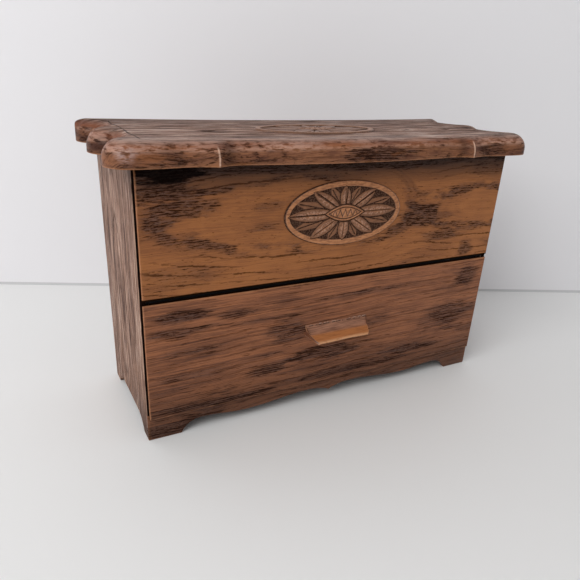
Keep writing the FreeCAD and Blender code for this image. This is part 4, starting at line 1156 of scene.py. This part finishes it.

# %% [markdown]
# The chest stands on a plain pale table in front of a plain wall, and a thin
# grey sheet along the line where they meet is a painted shadow in the corner.
# All are flat sheets, and none is part of the object. They are clear from
# behind, so that the wall doesn't block a view from the back. Light comes from a
# large lamp at the left, like a window, and from a pale room that is brighter above.

# %% Table and wall
def plain_sheet(name, corners, colour, roughness):
    """Flat sheet between four corners, plain on its front and not seen from behind."""
    mesh = bpy.data.meshes.new(name)
    mesh.from_pydata(corners, [], [(0, 1, 2, 3)])
    sheet = new_object(name, mesh)
    finish = bpy.data.materials.new(name)
    finish.use_nodes = True
    tree = finish.node_tree
    shader = tree.nodes["Principled BSDF"]
    shader.inputs["Base Color"].default_value = (*colour, 1)
    shader.inputs["Roughness"].default_value = roughness
    behind = tree.nodes.new("ShaderNodeNewGeometry").outputs["Backfacing"]
    clear = tree.nodes.new("ShaderNodeBsdfTransparent")
    either = tree.nodes.new("ShaderNodeMixShader")
    for socket, source in zip(either.inputs, (behind, shader.outputs[0], clear.outputs[0])):
        tree.links.new(source, socket)
    tree.links.new(either.outputs[0], tree.nodes["Material Output"].inputs["Surface"])
    mesh.materials.append(finish)
    print(name, "sheet")


def standing(start, end, low, high):
    """Four corners of a sheet that stands on the line from start to end."""
    return [(*start, low), (*end, low), (*end, high), (*start, high)]


WALL_START = (-3.40, 1.617)
WALL_END = (3.20, -1.120)
CORNER_SHADOW_SHIFT = (-0.0015, -0.0036)
table_corners = [(-3.4, -3.4, 0), (3.2, -3.4, 0), (3.2, 3.2, 0), (-3.4, 3.2, 0)]
plain_sheet("table", table_corners, (0.79, 0.79, 0.785), 0.55)
plain_sheet("wall", standing(WALL_START, WALL_END, -0.01, 2.4), (0.83, 0.82, 0.84), 0.7)
# thin grey sheet along the corner of table and wall: painted shadow
corner_shadow_line = [(x + CORNER_SHADOW_SHIFT[0], y + CORNER_SHADOW_SHIFT[1]) for x, y in (WALL_START, WALL_END)]
plain_sheet("corner_shadow", standing(*corner_shadow_line, 0, 0.003), (0.6, 0.6, 0.61), 0.8)

WINDOW = Vector((-1.5, -0.7, 1.3))
window_data = bpy.data.lights.new("window", "AREA")
window_data.size = 1.3
window_data.energy = 24
window = new_object("window", window_data)
to_chest = Vector((0, 0, 0.1)) - WINDOW
window.matrix_world = Matrix.Translation(WINDOW) @ to_chest.to_track_quat("-Z", "Y").to_matrix().to_4x4()
world = bpy.data.worlds.new("room")
world.use_nodes = True
sky = world.node_tree
direction = sky.nodes.new("ShaderNodeTexCoord").outputs["Generated"]
brighter_way = sky.nodes.new("ShaderNodeVectorMath")
brighter_way.operation = "DOT_PRODUCT"
brighter_way.inputs[1].default_value = (-0.35, 0.15, 0.9)
sky.links.new(direction, brighter_way.inputs[0])
strength = sky.nodes.new("ShaderNodeMapRange")
brightness = {"From Min": -0.6, "From Max": 0.9, "To Min": 0.21, "To Max": 0.63}
for key, value in brightness.items():
    strength.inputs[key].default_value = value
sky.links.new(brighter_way.outputs["Value"], strength.inputs["Value"])
sky.links.new(strength.outputs[0], sky.nodes["Background"].inputs["Strength"])
sky.nodes["Background"].inputs["Color"].default_value = (1, 1, 1, 1)
scene.world = world
scene.view_settings.view_transform = "Standard"
